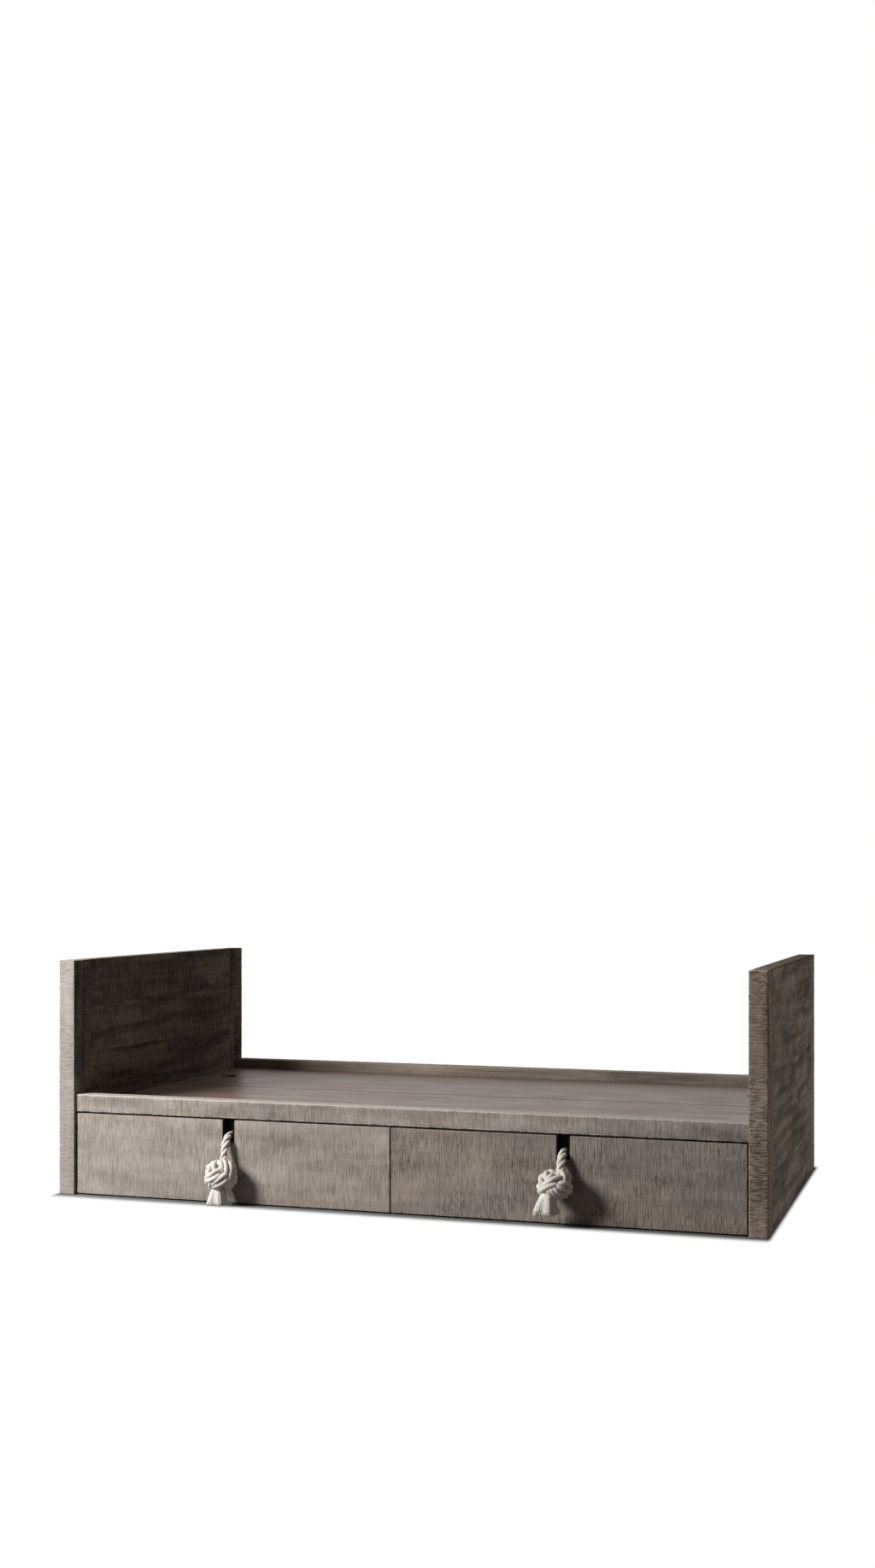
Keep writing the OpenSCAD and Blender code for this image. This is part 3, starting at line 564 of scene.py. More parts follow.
# %% Saw kerfs and sawn boards
def saw_kerfs(along, across, seed, pitch, run):
    """How deep the blade has bitten, from 0 to 1. The length is divided into strips one pitch wide. Each
    strip holds one groove at a place of its own, and its depth comes and goes across the grain."""
    bend = lattice(np.stack([along / 0.06, across / 0.09], 1), seed + 5) - 0.5
    place = along / pitch + 1.2 * bend
    strip = np.floor(place)
    chance = lattice(strip[:, None], seed)
    near = ease_in(1 - np.abs(place - strip - 0.3 - 0.4 * chance) / 0.5, 0, 1)
    depth = lattice(np.stack([across / run + 31 * chance, strip], 1), seed + 1)
    patch = lattice(np.stack([along / 0.11, across / 0.07], 1), seed + 9)
    return near * ease_in(depth, 0.4, 0.75) * (0.35 + 0.65 * ease_in(patch, 0.2, 0.6))


def sawn_board(node, grain, seed, kerf=0.3, pitch=5, run=26, ease=2.6, ragged=1.2, sides=1.0,
               grid="fine", surface="sawn"):
    """A board that stands for a CAD node. A point of the box's grid keeps its nearest point in the
    box drawn in by ease, and lies ease away from it, which rounds every edge. It is then pressed in by
    the kerfs, by a slow wave and, near the edges, by a ragged wear, which is deeper where a kerf runs
    out over the edge. Lengths after seed are in mm, and sides is the share of the kerfs' depth on the
    faces to the left and right."""
    low, high = (np.array(v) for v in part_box(node))
    ease = ease * MM
    step = SPACING[grid]
    steps = [step if k == grain else max(7 * MM, step) for k in range(3)]
    flat, quads = box_shell([grid_lines(low[k], high[k], steps[k], ease) for k in range(3)])
    inner = np.clip(flat, low + ease, high - ease)
    away = unit(flat - inner)
    own = np.sort(np.minimum(flat - low, high - flat), axis=1)[:, 1]
    a = flat[:, grain]
    # Across the grain the faces are unrolled, so that neighbouring faces don't share their marks
    first, second = (flat[:, k] for k in range(3) if k != grain)
    b = first + second
    end = np.abs(away[:, grain]) > MOSTLY
    bite = np.where(end, 0, saw_kerfs(a, b, seed, pitch * MM, run * MM)) if kerf else np.zeros(len(a))
    bite = bite * np.where(np.abs(away[:, X]) > MOSTLY, sides, 1)
    wave = lattice(flat / 0.06, seed + 1)
    edge = 1 - ease_in(own, 0, 6 * MM)
    wear = edge * (lattice(flat / 0.012, seed + 2) ** 2 + 0.7 * kerf * bite)
    # A point may not be pressed past the place in the drawn-in box that it belongs to
    press = np.minimum((bite * kerf + 0.35 * wave + ragged * wear) * MM, 0.85 * ease)
    points = inner + away * (ease - press)[:, None]
    offset = np.random.default_rng(seed).random(3) * np.array([9, 3, 3])
    fibre = np.stack([a, first, second], 1) + offset
    tone = np.full(len(a), np.random.default_rng(seed + 50).random())
    values = {"fibre": fibre, "rim": own, "kerf": bite, "tone": tone}
    piece = mesh_piece(f"{node}_{surface}", points, quads, values=values)
    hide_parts(node)
    record = frame["record"]
    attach(piece, next(body for body, nodes in record["behaviour"]["bodies"].items() if node in nodes))
    return piece


# %% [markdown]
# Each board gets its grain, its own seed and its own wear, read off the photograph: the right front stile
# is cut deep, the front rail is rubbed most, and the platform is planed smooth. Smooth and hidden boards
# have wide grids, which keeps the whole bed under two million triangles.

# %% Cut the ends, rails, fronts and panels
PLANK = dict(kerf=0.2, ease=1.8, ragged=0.2, grid="middle")
BACK_BOARD = dict(kerf=0.12, ease=1.5, ragged=0.6, grid="plain")
PANEL = dict(kerf=0, ragged=0.4, grid="plain", surface="planed")
CUTS = {
    "left_front_stile": (Z, 11, dict(kerf=0.35, pitch=4.2, run=14, sides=0.5)),
    "left_rear_stile": (Z, 12, dict(kerf=0.3)),
    "right_front_stile": (Z, 13, dict(kerf=0.9, pitch=5.0, run=13, ease=3.0, ragged=1.0, sides=0.25)),
    "right_rear_stile": (Z, 14, dict(kerf=0.35)),
}
for number in range(10):
    CUTS[f"{('left', 'right')[number // 5]}_plank_{number % 5 + 1}"] = (Y, 21 + number, PLANK)
CUTS.update({
    "front_rail": (X, 41, dict(kerf=0.4, ease=3.4, ragged=1.8)),
    "back_rail": (X, 42, dict(kerf=0.12, grid="middle")),
    "back_board_1": (X, 43, BACK_BOARD),
    "back_board_2": (X, 44, BACK_BOARD),
    "left_drawer_front": (X, 51, dict(kerf=0.35, ease=1.5, ragged=0.7)),
    "right_drawer_front": (X, 52, dict(kerf=0.6, ease=1.5, ragged=0.7)),
    "front_deck_panel": (X, 61, PANEL),
    "rear_deck_panel": (X, 62, PANEL),
})
BOARDS = {node: sawn_board(node, grain, seed, **cut) for node, (grain, seed, cut) in CUTS.items()}
print("boards:", len(BOARDS), "with", sum(len(b.data.polygons) for b in BOARDS.values()), "faces")


# %% [markdown]
# The rear platform panel has a round finger hole near each end, and each drawer front has a notch for its
# rope. The cutters are surfaces too: a tube that flares at both faces leaves a hole with a worn rim.

# %% Cutters
def flared_cutter(centre, radius, low, high, flare):
    """A closed tube about Z. Its radius grows by flare * (1 - sqrt(1 - u * u)) at both faces, where u
    runs from 0 to 1 over the last stretch of that length."""
    u = np.array([1.0, 0.85, 0.6, 0.3, 0.0])
    rim = flare * (1 - np.sqrt(1 - u**2))
    inside = flare * (1 - u)
    heights = np.concatenate([[low - flare], low + inside, (high - inside)[::-1], [high + flare]])
    radii = radius + np.concatenate([[flare], rim, rim[::-1], [flare]])
    centres = np.stack([np.full(len(heights), centre[0]), np.full(len(heights), centre[1]), heights], -1)
    normals = np.broadcast_to([1.0, 0, 0], centres.shape)
    points, quads, caps, _ = tubes(centres[None], normals[None], radii[None], 48)
    return mesh_piece("cutter", points, quads, caps)


def notch_cutter(middle, bottom, top, width, low_y, high_y, corner):
    """The notch's outline, a U with round lower corners, carried straight through the board."""
    turn = np.linspace(0, np.pi / 2, 7)
    half = width / 2 - corner
    right = np.stack([half + corner * np.sin(turn), corner * (1 - np.cos(turn))], 1)
    outline = np.vstack([right, [[width / 2, top - bottom]]])
    outline = np.vstack([outline, outline[::-1] * [-1, 1]]) + [middle, bottom]
    count = len(outline)
    points = np.vstack([np.insert(outline, 1, y, axis=1) for y in (low_y, high_y)])
    k = np.arange(count)
    quads = np.stack([k, (k + 1) % count, (k + 1) % count + count, k + count], 1)[:, ::-1]
    return mesh_piece("cutter", points, quads, [k, (k + count)[::-1]])


def cut_away(piece, cutters):
    """Subtracts closed cutters from a board, then deletes them."""
    for cutter in cutters:
        cut = piece.modifiers.new("cut", "BOOLEAN")
        cut.operation, cut.object, cut.solver = "DIFFERENCE", cutter, "EXACT"
    bpy.context.view_layer.update()
    result = bpy.data.meshes.new_from_object(piece.evaluated_get(bpy.context.evaluated_depsgraph_get()))
    piece.modifiers.clear()
    piece.data = result
    for cutter in cutters:
        bpy.data.objects.remove(cutter)


# %% Holes and notches
FINGER_D = 57 * MM
RIM = 3 * MM
# From a hole's middle to the end, and how deep the front rail's tenon sits in the end
FINGER_IN = 91 * MM
TENON = 20 * MM
NOTCH_W = 37 * MM
NOTCH_CORNER = 5 * MM
# How far a cutter stands out of its board
CLEAR = 5 * MM
low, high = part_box("rear_deck_panel")
inner_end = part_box("front_rail")[1].x - TENON
holes = [(side * (inner_end - FINGER_IN), (low.y + high.y) / 2) for side in (-1, 1)]
cut_away(BOARDS["rear_deck_panel"], [flared_cutter(p, FINGER_D / 2, low.z, high.z, RIM) for p in holes])
for side in ("left", "right"):
    low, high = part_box(side + "_drawer_front")
    cutter = notch_cutter((low.x + high.x) / 2, high.z - NOTCH_DEPTH, high.z + CLEAR, NOTCH_W,
                          low.y - CLEAR, high.y + CLEAR, NOTCH_CORNER)
    cut_away(BOARDS[side + "_drawer_front"], [cutter])
print("cut:", {n: len(BOARDS[n].data.polygons) for n in ("rear_deck_panel", "left_drawer_front")})

# %% [markdown]
# The finishes are built from shader nodes. Wired one by one they soon hide what they work out, so a
# node's output is wrapped in a small class here. Adding or multiplying such wires places the Math node by
# itself, and the code reads like the formula. One function fills inputs, with wires or with constants.

# %% Colours and wires
def paint(red, green, blue):
    """A colour written as it shows on a screen, from 0 to 255, in the linear values of the shader."""
    c = np.array([red, green, blue]) / 255
    linear = np.where(c <= 0.04045, c / 12.92, ((c + 0.055) / 1.055) ** 2.4)
    return (*linear.tolist(), 1.0)


class Wire:
    """An output of a shader node. The signs + - * and / place the Math node that works them out."""

    def __init__(self, socket):
        self.socket = socket
        self.tree = socket.id_data

    def math(self, operation, *others):
        return put(self.tree, "Math", dict(enumerate((self, *others))), operation=operation)

    def vector_math(self, operation, *others, out=0):
        return put(self.tree, "VectorMath", dict(enumerate((self, *others))), out, operation=operation)

    def axis(self, number):
        return put(self.tree, "SeparateXYZ", {0: self}, number)

    def __add__(self, other):
        return self.math("ADD", other)

    def __sub__(self, other):
        return self.math("SUBTRACT", other)

    def __mul__(self, other):
        return self.math("MULTIPLY", other)

    def __truediv__(self, other):
        return self.math("DIVIDE", other)


def wires(node):
    """A node's outputs by name."""
    return {socket.name: Wire(socket) for socket in node.outputs}


def fill(node, inputs):
    """Links each given input of a node to a wire, or sets it to a constant."""
    for key, value in inputs.items():
        if isinstance(value, Wire):
            node.id_data.links.new(value.socket, node.inputs[key])
        else:
            node.inputs[key].default_value = value


def put(tree, kind, inputs=None, out=0, **settings):
    """Adds a shader node, fills its inputs, and hands back one of its outputs."""
    made = tree.nodes.new("ShaderNode" + kind)
    for key, value in settings.items():
        setattr(made, key, value)
    fill(made, inputs or {})
    return Wire(made.outputs[out])


# %% Short ways to common nodes
def blend_colour(share, a, b):
    """b over a, by a share from 0 to 1."""
    return put(share.tree, "Mix", {0: share, 6: a, 7: b}, 2, data_type="RGBA")


def ramp_between(value, low, high, to_low=0.0, to_high=1.0):
    """A smooth step of a value from low to high."""
    return put(value.tree, "MapRange", {0: value, 1: low, 2: high, 3: to_low, 4: to_high},
               interpolation_type="SMOOTHSTEP")


def noise(place, scale, detail=3.0, roughness=0.55, **settings):
    """Cloudy noise from 0 to 1 at a place."""
    inputs = {"Vector": place, "Scale": scale, "Detail": detail, "Roughness": roughness}
    return put(place.tree, "TexNoise", inputs, **settings)


def stretched_noise(place, scale, detail=3.0, roughness=0.55, shift=(0, 0, 0)):
    """Noise with its own scale, in turns per metre, along each axis of a vector."""
    return noise(place.vector_math("MULTIPLY_ADD", scale, shift), 1.0, detail, roughness)


def bump(height, strength, distance):
    """A normal tilted by a height that changes over the surface."""
    return put(height.tree, "Bump", {"Strength": strength, "Distance": distance, "Height": height})


# %% Materials and node groups
def new_material(name):
    """A material, its node tree and its Principled shader."""
    material = bpy.data.materials.new(name)
    material.use_nodes = True
    return material, material.node_tree, material.node_tree.nodes["Principled BSDF"]


def new_group(name, inputs, outputs):
    """A shader group, its inputs as wires and its output node. inputs maps names to default values."""
    tree = bpy.data.node_groups.new(name, "ShaderNodeTree")
    for key, value in inputs.items():
        kind = "NodeSocketVector" if value is None else "NodeSocketFloat"
        socket = tree.interface.new_socket(key, in_out="INPUT", socket_type=kind)
        if value is not None:
            socket.default_value = value
    for key in outputs:
        tree.interface.new_socket(key, in_out="OUTPUT", socket_type="NodeSocketFloat")
    return tree, wires(tree.nodes.new("NodeGroupInput")), tree.nodes.new("NodeGroupOutput")


def use_group(tree, group, inputs):
    """Places a group in a material and hands back its outputs by name."""
    made = tree.nodes.new("ShaderNodeGroup")
    made.node_tree = group
    fill(made, inputs)
    return wires(made)


# %% [markdown]
# Growth rings cut lengthwise show as lines and long arches, and the fibres between them as fine streaks.
# Here and there sits a small knot: the middle of one cell in a few, drawn out along the grain. Several
# finishes need all this, so it is a node group, built once, that reads each board's own fibre
# coordinates. These run along its grain, and start at a place of their own on each board.

# %% Wood figure
figure, given, result = new_group(
    "wood figure", {"Fibre": None, "Ring Width": 0.007, "Wander": 0.02},
    ("Rings", "Streaks", "Bands", "Patches", "Tint", "Knots")
)
fibre = given["Fibre"]
sway = stretched_noise(fibre, (1.3, 5, 5), 2.0) * given["Wander"]
fine_sway = stretched_noise(fibre, (9, 60, 60), 2.0) * 0.004
slope = fibre.vector_math("DOT_PRODUCT", (0.0, 0.35, 1.0), out=1)
phase = (slope + (sway + fine_sway)) / given["Ring Width"] * (2 * math.pi)
cells = fibre.vector_math("MULTIPLY", (3.0, 9.0, 9.0))
cell = put(figure, "TexVoronoi", {"Vector": cells, "Scale": 1.0})
lucky = put(figure, "SeparateColor", {0: put(figure, "TexVoronoi", {"Vector": cells, "Scale": 1.0}, 1)})
fill(result, {
    "Rings": ramp_between(phase.math("SINE"), -1.0, 1.0).math("POWER", 2.2),
    "Streaks": stretched_noise(fibre, (9, 330, 330), 5.0, 0.62),
    "Bands": stretched_noise(fibre, (2.5, 34, 34), 2.0, 0.5, (2, 9, 4)),
    "Patches": stretched_noise(fibre, (6, 13, 13), 3.0, 0.6),
    "Tint": stretched_noise(fibre, (2.6, 6, 6), 2.0, 0.5, (7, 3, 1)),
    "Knots": ramp_between(cell, 0.02, 0.1, 1.0, 0.0) * ramp_between(lucky, 0.84, 0.86),
})

# %% [markdown]
# The teeth have left short dark cuts across the grain. As on the meshes, the length is divided into
# strips, and each strip has one cut at a place of its own, which comes and goes across the grain. Between
# the cuts lie finer lines, from a noise that is narrow along the fibres and long across them.

# %% Saw marks
saw, given, result = new_group("saw marks", {"Fibre": None, "Per Metre": 230.0, "Run Per Metre": 30.0},
                               ("Lines", "Cuts"))
fibre, per_metre, run = given["Fibre"], given["Per Metre"], given["Run Per Metre"]
along = fibre.axis(X)
across = fibre.axis(Y) + fibre.axis(Z)
bend = stretched_noise(fibre, (30, 22, 22), 3.0, 0.65)


def strip_cuts(density, run, shift, widest):
    """Cuts whose strips lie density per metre apart; widest is half a cut's width as a share of a strip."""
    place = along * density + shift + bend * 1.8
    strip = place.math("FLOOR")
    chance = put(saw, "TexWhiteNoise", {"W": strip}, noise_dimensions="1D")
    away = (place.math("FRACT") - (chance * 0.36 + 0.32)).math("ABSOLUTE")
    near = ramp_between(away / (chance * (0.5 * widest) + 0.5 * widest), 0.35, 1.0, 1.0, 0.0)
    spot = put(saw, "CombineXYZ", {0: across * run + chance * 97.0, 1: strip * 7.31})
    depth = noise(spot, 1.0, 2.0, 0.6, noise_dimensions="2D")
    return near * ramp_between(depth, 0.4, 0.58)


short = strip_cuts(per_metre, run, 0.0, 0.34)
long = strip_cuts(per_metre * 0.58, run * 0.6, 0.37, 0.2)
patch = ramp_between(stretched_noise(fibre, (7, 11, 11), 2.0, 0.5, (3, 8, 2)), 0.35, 0.6, 0.4, 1.0)
crumbs = ramp_between(stretched_noise(fibre, (420, 150, 150), 2.0, 0.6), 0.3, 0.6, 0.35, 1.0)
scale = put(saw, "CombineXYZ", {0: per_metre, 1: run, 2: run})
fine = fibre.vector_math("MULTIPLY", scale).vector_math("MULTIPLY", (1.7, 0.5, 0.5))
fill(result, {
    "Lines": ramp_between(noise(fine, 1.0, 3.0, 0.65), 0.3, 0.7),
    "Cuts": short.math("MAXIMUM", long) * crumbs * patch,
})

# %% [markdown]
# Where hands and feet rub, the edges are paler, and near the edges where panels meet the wood is darker,
# from dirt and from painted shade. The meshes carry a rim value, the distance to the nearest edge, so the
# wear and the painted shade follow the real edges and need no ray tracing.

# %% Edge mask for wear, dirt and painted shade
edges, given, result = new_group("worn and shaded edges", {"Fibre": None, "Rim": 0.0, "Reach": 0.004}, ("Wear And Shade",))
frayed = stretched_noise(given["Fibre"], (60, 160, 160), 3.0, 0.6)
reach = given["Reach"] * (frayed * 2.4 - 0.35)
share = given["Rim"] / reach.math("MAXIMUM", 0.0002)
fill(result, {"Wear And Shade": ramp_between(share, 0.35, 1.15, 1.0, 0.0)})
print("groups:", [g.name for g in bpy.data.node_groups])


# %% [markdown]
# Weathered wood is layered the way it ages. A mid tone drifts to grey and to pale in broad patches, with the
# figure faint in it. The saw has left dark cuts and pale ridges across the grain, and the deep kerfs are
# darkened as painted shade. The rubbed edges come back pale, and near the edges, where two panels meet, dirt
# and painted shade darken them. Faces that look up are paler, from dust and wear and from painted light from
# above.

# %% Weathered wood
def weathered(name, colours, rings=0.06, streaks=0.03, bands=0.15, blotches=0.5, lines=0.3, cuts=0.6,
              kerf_shade=0.3, wear=0.1, top=0.0, rim_dirt_and_shade=0.0, rough=0.75, relief=0.5, spread=0.06, reach=4.0,
              gloss=0.1, per_metre=230.0, run=38.0):
    """A finish for the sawn boards. colours are dark, mid, pale and grey, as they show on a screen. The
    numbers are shares from 0 to 1, but for reach in mm and the two densities of the saw marks."""
    dark, mid, pale, grey = (paint(*colour) for colour in colours)
    deep = tuple(0.3 * c for c in dark[:3]) + (1.0,)
    material, tree, shader = new_material(name)
    fibre = put(tree, "Attribute", attribute_name="fibre", out=1)
    rim, kerf, tone = (put(tree, "Attribute", attribute_name=k, out=2) for k in ("rim", "kerf", "tone"))
    wood = use_group(tree, figure, {"Fibre": fibre})
    marks = use_group(tree, saw, {"Fibre": fibre, "Per Metre": per_metre, "Run Per Metre": run})
    worn = use_group(tree, edges, {"Fibre": fibre, "Rim": rim, "Reach": reach * MM})
    upward = put(tree, "NewGeometry", out=3).axis(Z)
    # Each layer: the value that it follows, where that starts and is full, its share and its colour
    layers = (
        (wood["Tint"], 0.42, 0.6, blotches, grey),
        (wood["Patches"], 0.5, 0.68, 0.6 * blotches, pale),
        (wood["Patches"], 0.48, 0.32, 0.5 * blotches, dark),
        (wood["Bands"], 0.5, 0.72, bands, pale),
        (wood["Bands"], 0.5, 0.28, bands, dark),
        (wood["Rings"], 0.2, 1.0, rings, dark),
        (wood["Streaks"], 0.5, 0.72, streaks, dark),
        (wood["Streaks"], 0.48, 0.3, 0.7 * streaks, pale),
        (marks["Lines"], 0.5, 1.0, lines, dark),
        (marks["Lines"], 0.5, 0.0, lines, pale),
        # Painted shade: darker where the saw kerf is deeper
        (kerf, 0.0, 1.0, kerf_shade, dark),
        (marks["Cuts"], 0.0, 1.0, cuts, dark),
        (wood["Knots"], 0.0, 1.0, 0.55, deep),
        (worn["Wear And Shade"], 0.0, 1.0, wear, pale),
        # Paler on faces that look up: dust and wear, and painted light from above
        (upward, 0.3, 0.9, top, pale),
        # Darker near the edges: dirt, and painted shade where panels meet
        (worn["Wear And Shade"], 0.0, 1.0, rim_dirt_and_shade, deep),
    )
    colour = mid
    for value, start, full, share, over in layers:
        colour = blend_colour(ramp_between(value, start, full, 0, share), colour, over)
    bright = ramp_between(tone, 0, 1, 1 - spread, 1 + spread)
    height = wood["Streaks"] * (-0.6 * streaks) - marks["Lines"] * lines - marks["Cuts"] * cuts
    fill(shader, {
        "Base Color": put(tree, "HueSaturation", {"Value": bright, "Color": colour}),
        "Roughness": ramp_between(wood["Patches"], 0.3, 0.7, rough - 0.06, rough + 0.06),
        "Normal": bump(height, relief, 0.9 * MM),
        "Specular IOR Level": gloss,
    })
    return material


# %% Finishes of the boards
FINISHES = {
    "left drawer": weathered(
        "weathered_left_front", ((72, 62, 54), (146, 136, 128), (180, 172, 165), (141, 136, 131)),
        cuts=0.45, lines=0.25),
    "right drawer": weathered(
        "weathered_right_front", ((52, 43, 36), (149, 136, 125), (180, 167, 155), (133, 129, 127)),
        cuts=0.75),
    "rail": weathered(
        "weathered_rail", ((64, 54, 47), (148, 137, 128), (190, 182, 175), (140, 136, 132)), rings=0.12,
        streaks=0.06, blotches=0.7, lines=0.22, cuts=0.45, wear=0.5, top=0.65, rough=0.6, run=42.0,
        reach=6.0),
    "pale stile": weathered(
        "weathered_pale_stile", ((92, 82, 73), (152, 145, 138), (182, 177, 171), (148, 145, 141)),
        blotches=0.3, cuts=0.5, bands=0.1, top=0.4, gloss=0.0, run=60.0, per_metre=240.0),
    "cut stile": weathered(
        "weathered_cut_stile", ((44, 34, 27), (144, 127, 114), (192, 177, 163), (134, 125, 117)), lines=0.25,
        cuts=1.0, kerf_shade=0.9, wear=0.4, relief=0.7, top=0.4, gloss=0.0, per_metre=210.0, run=62.0),
    "end": weathered(
        "weathered_end", ((50, 41, 35), (130, 118, 107), (171, 158, 145), (114, 110, 107)), blotches=0.8,
        bands=0.6, rings=0.2, lines=0.45, cuts=0.75, rim_dirt_and_shade=0.75, spread=0.1, reach=3.5, top=0.35, gloss=0.0),
    "back": weathered(
        "weathered_back", ((60, 51, 44), (128, 115, 104), (160, 148, 136), (116, 109, 103)), rings=0.3,
        streaks=0.25, bands=0.5, blotches=0.6, lines=0.04, cuts=0.05, kerf_shade=0.1, top=0.3, rough=0.6),
    "platform": weathered(
        "weathered_platform", ((74, 58, 48), (117, 98, 86), (140, 121, 108), (110, 97, 89)), rings=0.2,
        streaks=0.2, bands=0.3, blotches=0.5, lines=0.04, cuts=0.03, kerf_shade=0.0, wear=0.0, rim_dirt_and_shade=0.75,
        rough=0.4, relief=0.2, spread=0.03, reach=5.0, gloss=0.14),
}


# %% Put the finishes on
def finish_for(name):
    """The finish of a board, by its name."""
    if "deck" in name:
        return FINISHES["platform"]
    if "front_stile" in name:
        return FINISHES["pale stile" if name.startswith("left") else "cut stile"]
    if "drawer" in name:
        return FINISHES[name.split("_")[0] + " drawer"]
    if name == "front_rail":
        return FINISHES["rail"]
    return FINISHES["back" if "back" in name else "end"]


for name, board in BOARDS.items():
    board.data.materials.clear()
    board.data.materials.append(finish_for(name))
    if "front_stile" in name:
        # The faces to the left and right get the darker finish of the planks beside them, which paints shade
        # on the stile's sides
        board.data.materials.append(FINISHES["end"])
        facing = np.empty(3 * len(board.data.polygons), np.float32)
        board.data.polygons.foreach_get("normal", facing)
        sideways = np.abs(facing.reshape(-1, 3)[:, X]) > MOSTLY
        board.data.polygons.foreach_set("material_index", sideways.astype(np.int32))
print("finishes:", sorted(m.name for m in FINISHES.values()))

# %% [markdown]
# Cotton rope is matt and a little hairy. Its strands are themselves twisted from yarns, which show as fine
# slanted lines, with painted shade in the hollows between them. The pattern follows each strand's own UV
# map: u runs along it and v round it.

# %% Cotton
def cotton(name, base, shade_and_tone, turns, per_metre):
    """Slanted yarns: a sine of turns * v + per_metre * u, sharpened, paints shade into the hollows between
    yarns. The same darker colour also comes in cloudy patches and fine specks, as the cotton's uneven tone.
    """
    material, tree, shader = new_material(name)
    place = put(tree, "UVMap", uv_map="surface")
    phase = place.axis(X) * per_metre + place.axis(Y) * turns
    yarn = ramp_between((phase * (2 * math.pi)).math("SINE"), -1.0, 0.6)
    here = put(tree, "TexCoord", out=3)
    fuzz = noise(here, 900.0, 4.0, 0.7)
    cloud = noise(here, 38.0)
    # Painted shade in the hollows between yarns
    colour = blend_colour(ramp_between(yarn, 0, 1, 0.28, 0), base, shade_and_tone)
    colour = blend_colour(ramp_between(cloud, 0.4, 0.7, 0, 0.4), colour, shade_and_tone)
    fill(shader, {
        "Base Color": blend_colour(ramp_between(fuzz, 0.35, 0.65, 0.12, 0), colour, shade_and_tone),
        "Roughness": ramp_between(fuzz, 0.3, 0.7, 0.88, 1.0),
        "Normal": bump(yarn + fuzz * 0.35, 0.35, 0.4 * MM),
        "Specular IOR Level": 0.2,
        "Sheen Weight": 0.15,
        "Sheen Roughness": 0.5,
    })
    return material


strand_cotton = cotton("cotton_strand", paint(212, 206, 198), paint(190, 182, 172), 9, 120)
yarn_cotton = cotton("cotton_yarn", paint(234, 230, 224), paint(220, 214, 205), 2, 160)
for piece in (*ropes.values(), *knots.values()):
    piece.data.materials.append(strand_cotton)
for piece in tassels.values():
    piece.data.materials.append(yarn_cotton)
print("cotton on", len(ropes) + len(knots) + len(tassels), "pieces")


# %% [markdown]
# What stays out of sight keeps its exact CAD shape and gets a plain finish: planed birch for the drawer
# boxes, planed softwood for the bearers, zinc on the slides and brackets, and a black insert, made darker
# than black paint, which also paints the deep shade in the notches.

# %% Planed wood, metal and the black insert
def planed(name, dark, light, grain):
    """Fine lengthwise pores and broad bands on Object coordinates, turned so that X is the grain."""
    material, tree, shader = new_material(name)
    turn = (0, 0, 0) if grain == X else (0, 0, -math.pi / 2)
    place = put(tree, "Mapping", {"Vector": put(tree, "TexCoord", out=3), "Rotation": turn})
    wood = use_group(tree, figure, {"Fibre": place, "Ring Width": 0.011, "Wander": 0.03})
    colour = blend_colour(ramp_between(wood["Streaks"], 0.3, 0.72), paint(*dark), paint(*light))
    colour = blend_colour(wood["Rings"] * 0.35, colour, paint(*dark))
    fill(shader, {
        "Base Color": blend_colour(ramp_between(wood["Patches"], 0.4, 0.7, 0, 0.3), colour, paint(*light)),
        "Roughness": ramp_between(wood["Streaks"], 0.3, 0.7, 0.62, 0.5),
        "Normal": bump(wood["Streaks"], 0.2, 0.3 * MM),
    })
    return material


def metal(name, low, high, metallic, rough, scale, dents=0.1, gloss=0.5):
    """Sheet or forged metal: cloudy colour and roughness, and a faint unevenness."""
    material, tree, shader = new_material(name)
    here = put(tree, "TexCoord", out=3)
    cloud = noise(here, scale, 4.0, 0.6)
    flakes = put(tree, "TexVoronoi", {"Vector": here, "Scale": scale * 2.2}, 1)
    flakes = put(tree, "SeparateColor", {0: flakes})
    fill(shader, {
        "Base Color": blend_colour(flakes * 0.4 + cloud * 0.6, paint(*low), paint(*high)),
        "Roughness": ramp_between(cloud, 0.3, 0.7, rough - 0.08, rough + 0.1),
        "Normal": bump(cloud, dents, 0.2 * MM),
        "Metallic": metallic,
        "Specular IOR Level": gloss,
    })
    return material


# %% Finishes of the hidden parts
PLAIN = {
    "birch x": planed("birch_along", (176, 146, 112), (206, 180, 146), X),
    "birch y": planed("birch_across", (172, 142, 108), (203, 176, 142), Y),
    "soft x": planed("softwood_along", (138, 112, 84), (178, 150, 118), X),
    "soft y": planed("softwood_across", (136, 110, 82), (175, 147, 116), Y),
    "zinc": metal("zinc_sheet", (168, 171, 174), (205, 208, 212), 1.0, 0.38, 60.0),
    "steel": metal("screw_steel", (112, 112, 114), (150, 150, 152), 1.0, 0.42, 200.0),
    # Darker than black paint: the insert's own colour, and painted shade deep in the notch
    "black": metal("black_insert_and_shade", (3, 3, 3), (9, 8, 8), 0.0, 0.8, 90.0, gloss=0.08),
}


def plain_finish(name):
    """The finish of a CAD node that shows, by its name."""
    if "liner" in name:
        return PLAIN["black"]
    if "screw" in name:
        return PLAIN["steel"]
    if "slide" in name or "bracket" in name:
        return PLAIN["zinc"]
    lengthwise = not ("side" in name or "divider" in name)
    return PLAIN[("birch" if "box" in name else "soft") + (" x" if lengthwise else " y")]


shown = [name for name, node in frame["nodes"].items() if not node.hide_render]
for name in shown:
    node = frame["nodes"][name]
    if not node.material_slots:
        node.data.materials.append(None)
    for place in node.material_slots:
        place.material = plain_finish(name)
print("CAD nodes that show:", len(shown))

# %% [markdown]
# The light is soft and comes from the upper left, with nothing but white behind the bed. One large lamp
# stands front left, a weak low one on the right, and the world gives the rest. The camera sees white, while
# near the bed the floor's glow fades, which paints a soft contact shadow round it, over the real shadow
# under the bed.

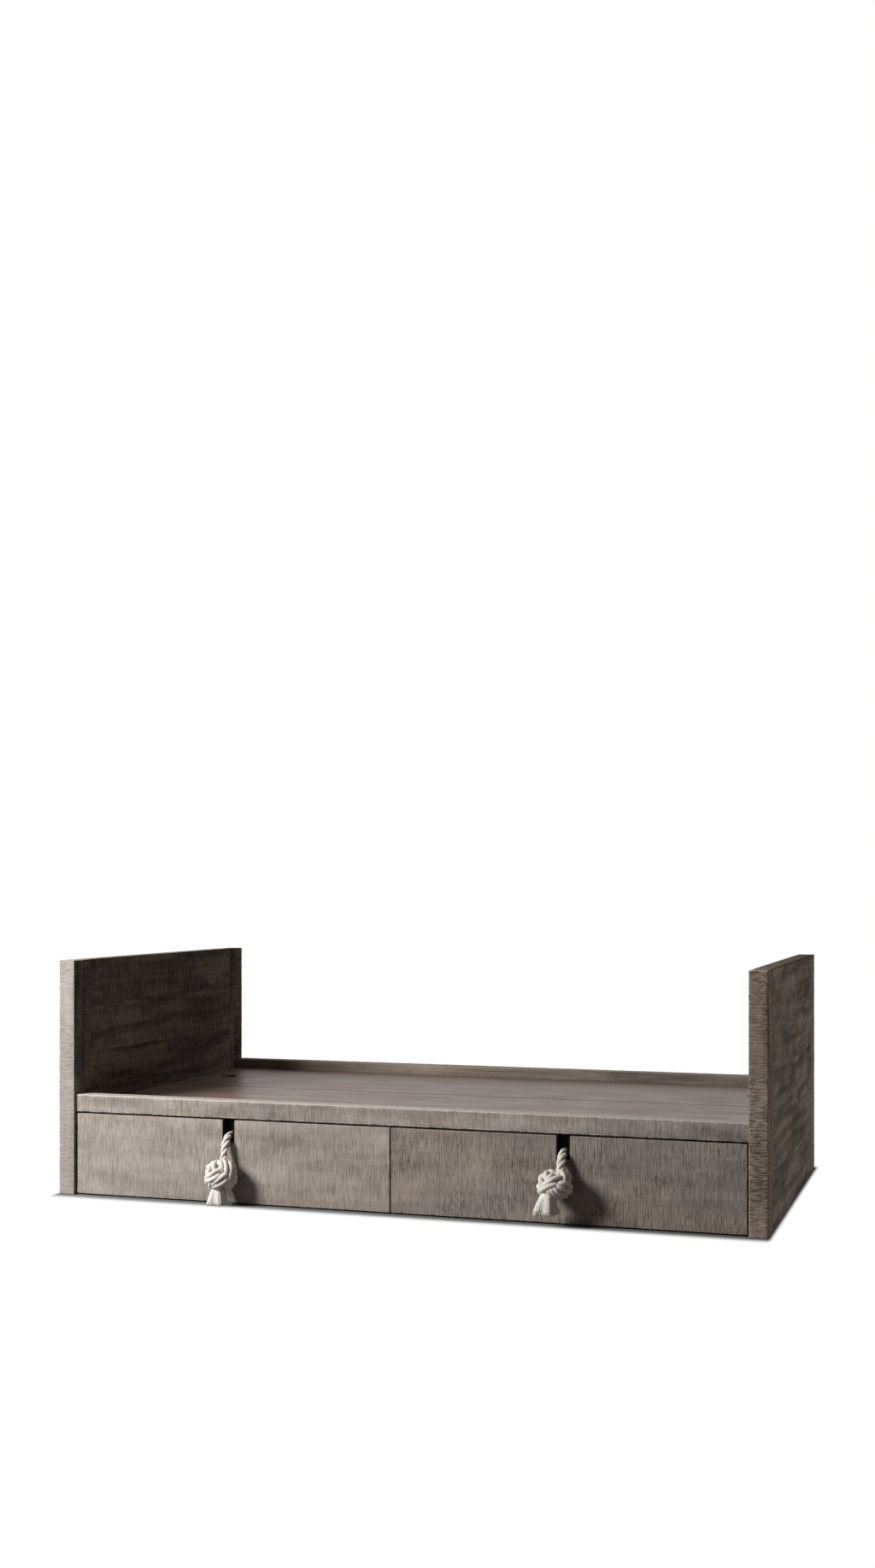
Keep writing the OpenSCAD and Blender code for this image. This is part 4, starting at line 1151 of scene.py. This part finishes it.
# %% White for the camera, and lamps
def white_for_camera(tree):
    """1 for rays that come from the camera, from a reflection or through glass, and otherwise 0."""
    rays = wires(tree.nodes.new("ShaderNodeLightPath"))
    seen = rays["Is Camera Ray"].math("MAXIMUM", rays["Is Glossy Ray"])
    return seen.math("MAXIMUM", rays["Is Transmission Ray"])


def lamp(name, place, target, size, watts, colour):
    """A round area lamp at a place, turned so that it faces the target."""
    data = bpy.data.lights.new(name, "AREA")
    data.shape = "DISK"
    data.size = size
    data.energy = watts
    data.color = colour
    made = bpy.data.objects.new(name, data)
    made.location = place
    x, y, z = np.array(target, float) - np.array(place, float)
    made.rotation_euler = (math.atan2(z, math.hypot(x, y)) + math.pi / 2, 0, math.atan2(y, x) - math.pi / 2)
    scene.collection.objects.link(made)


# %% World, floor and light
WHITE = (1.0, 1.0, 1.0, 1.0)
AMBIENT = 0.09
world = bpy.data.worlds.new("studio")
scene.world = world
world.use_nodes = True
level = ramp_between(white_for_camera(world.node_tree), 0, 1, AMBIENT, 1.0)
fill(world.node_tree.nodes["Background"], {"Color": WHITE, "Strength": level})

FLOOR_HALF = 14.0
corners = np.array([[-1, -1, 0], [1, -1, 0], [1, 1, 0], [-1, 1, 0]]) * FLOOR_HALF
floor = mesh_piece("floor", corners, np.array([[0, 1, 2, 3]]))
paper, tree, shader = new_material("white_paper")
fill(shader, {"Roughness": 0.9, "Specular IOR Level": 0.1, "Base Color": (0.15, 0.15, 0.15, 1.0)})
glow = put(tree, "Emission", {"Color": WHITE, "Strength": 1.05})

# Under the bed the glow is off. Outside the bed's outline it is nearly full after 6 cm to the front or back,
# and sooner to the left or right, where the distance counts 4 times. Where the glow is weak the floor's own
# dark grey shows, so this fade paints a contact shadow round the bed, over the real shadow under it
high = np.array(cad_box[1])
beyond = put(tree, "TexCoord", out=3).vector_math("ABSOLUTE")
beyond = beyond.vector_math("SUBTRACT", (high[0], high[1], 0)).vector_math("MAXIMUM", (0, 0, 0))
away = beyond.vector_math("MULTIPLY", (4.0, 1.0, 1.0)).vector_math("LENGTH", out=1)
near = ramp_between(away, 0.0, 0.06, 0.0, 0.95)
far = ramp_between(away, 0.2, 1.5, 0.0, 0.05)
share = white_for_camera(tree) * (near + far)
surface = put(tree, "MixShader", {0: share, 1: Wire(shader.outputs[0]), 2: glow})
fill(tree.nodes["Material Output"], {"Surface": surface})
floor.data.materials.append(paper)

lamp("window", (-2.1, -2.5, 1.9), (-0.35, -0.5, 0.2), 1.1, 168, (1.0, 0.995, 0.985))
lamp("fill", (3.6, 0.6, 0.6), (1.0, 0, 0.3), 1.2, 24, (1.0, 0.96, 0.92))
print("lamps:", [light.name for light in bpy.data.lights])
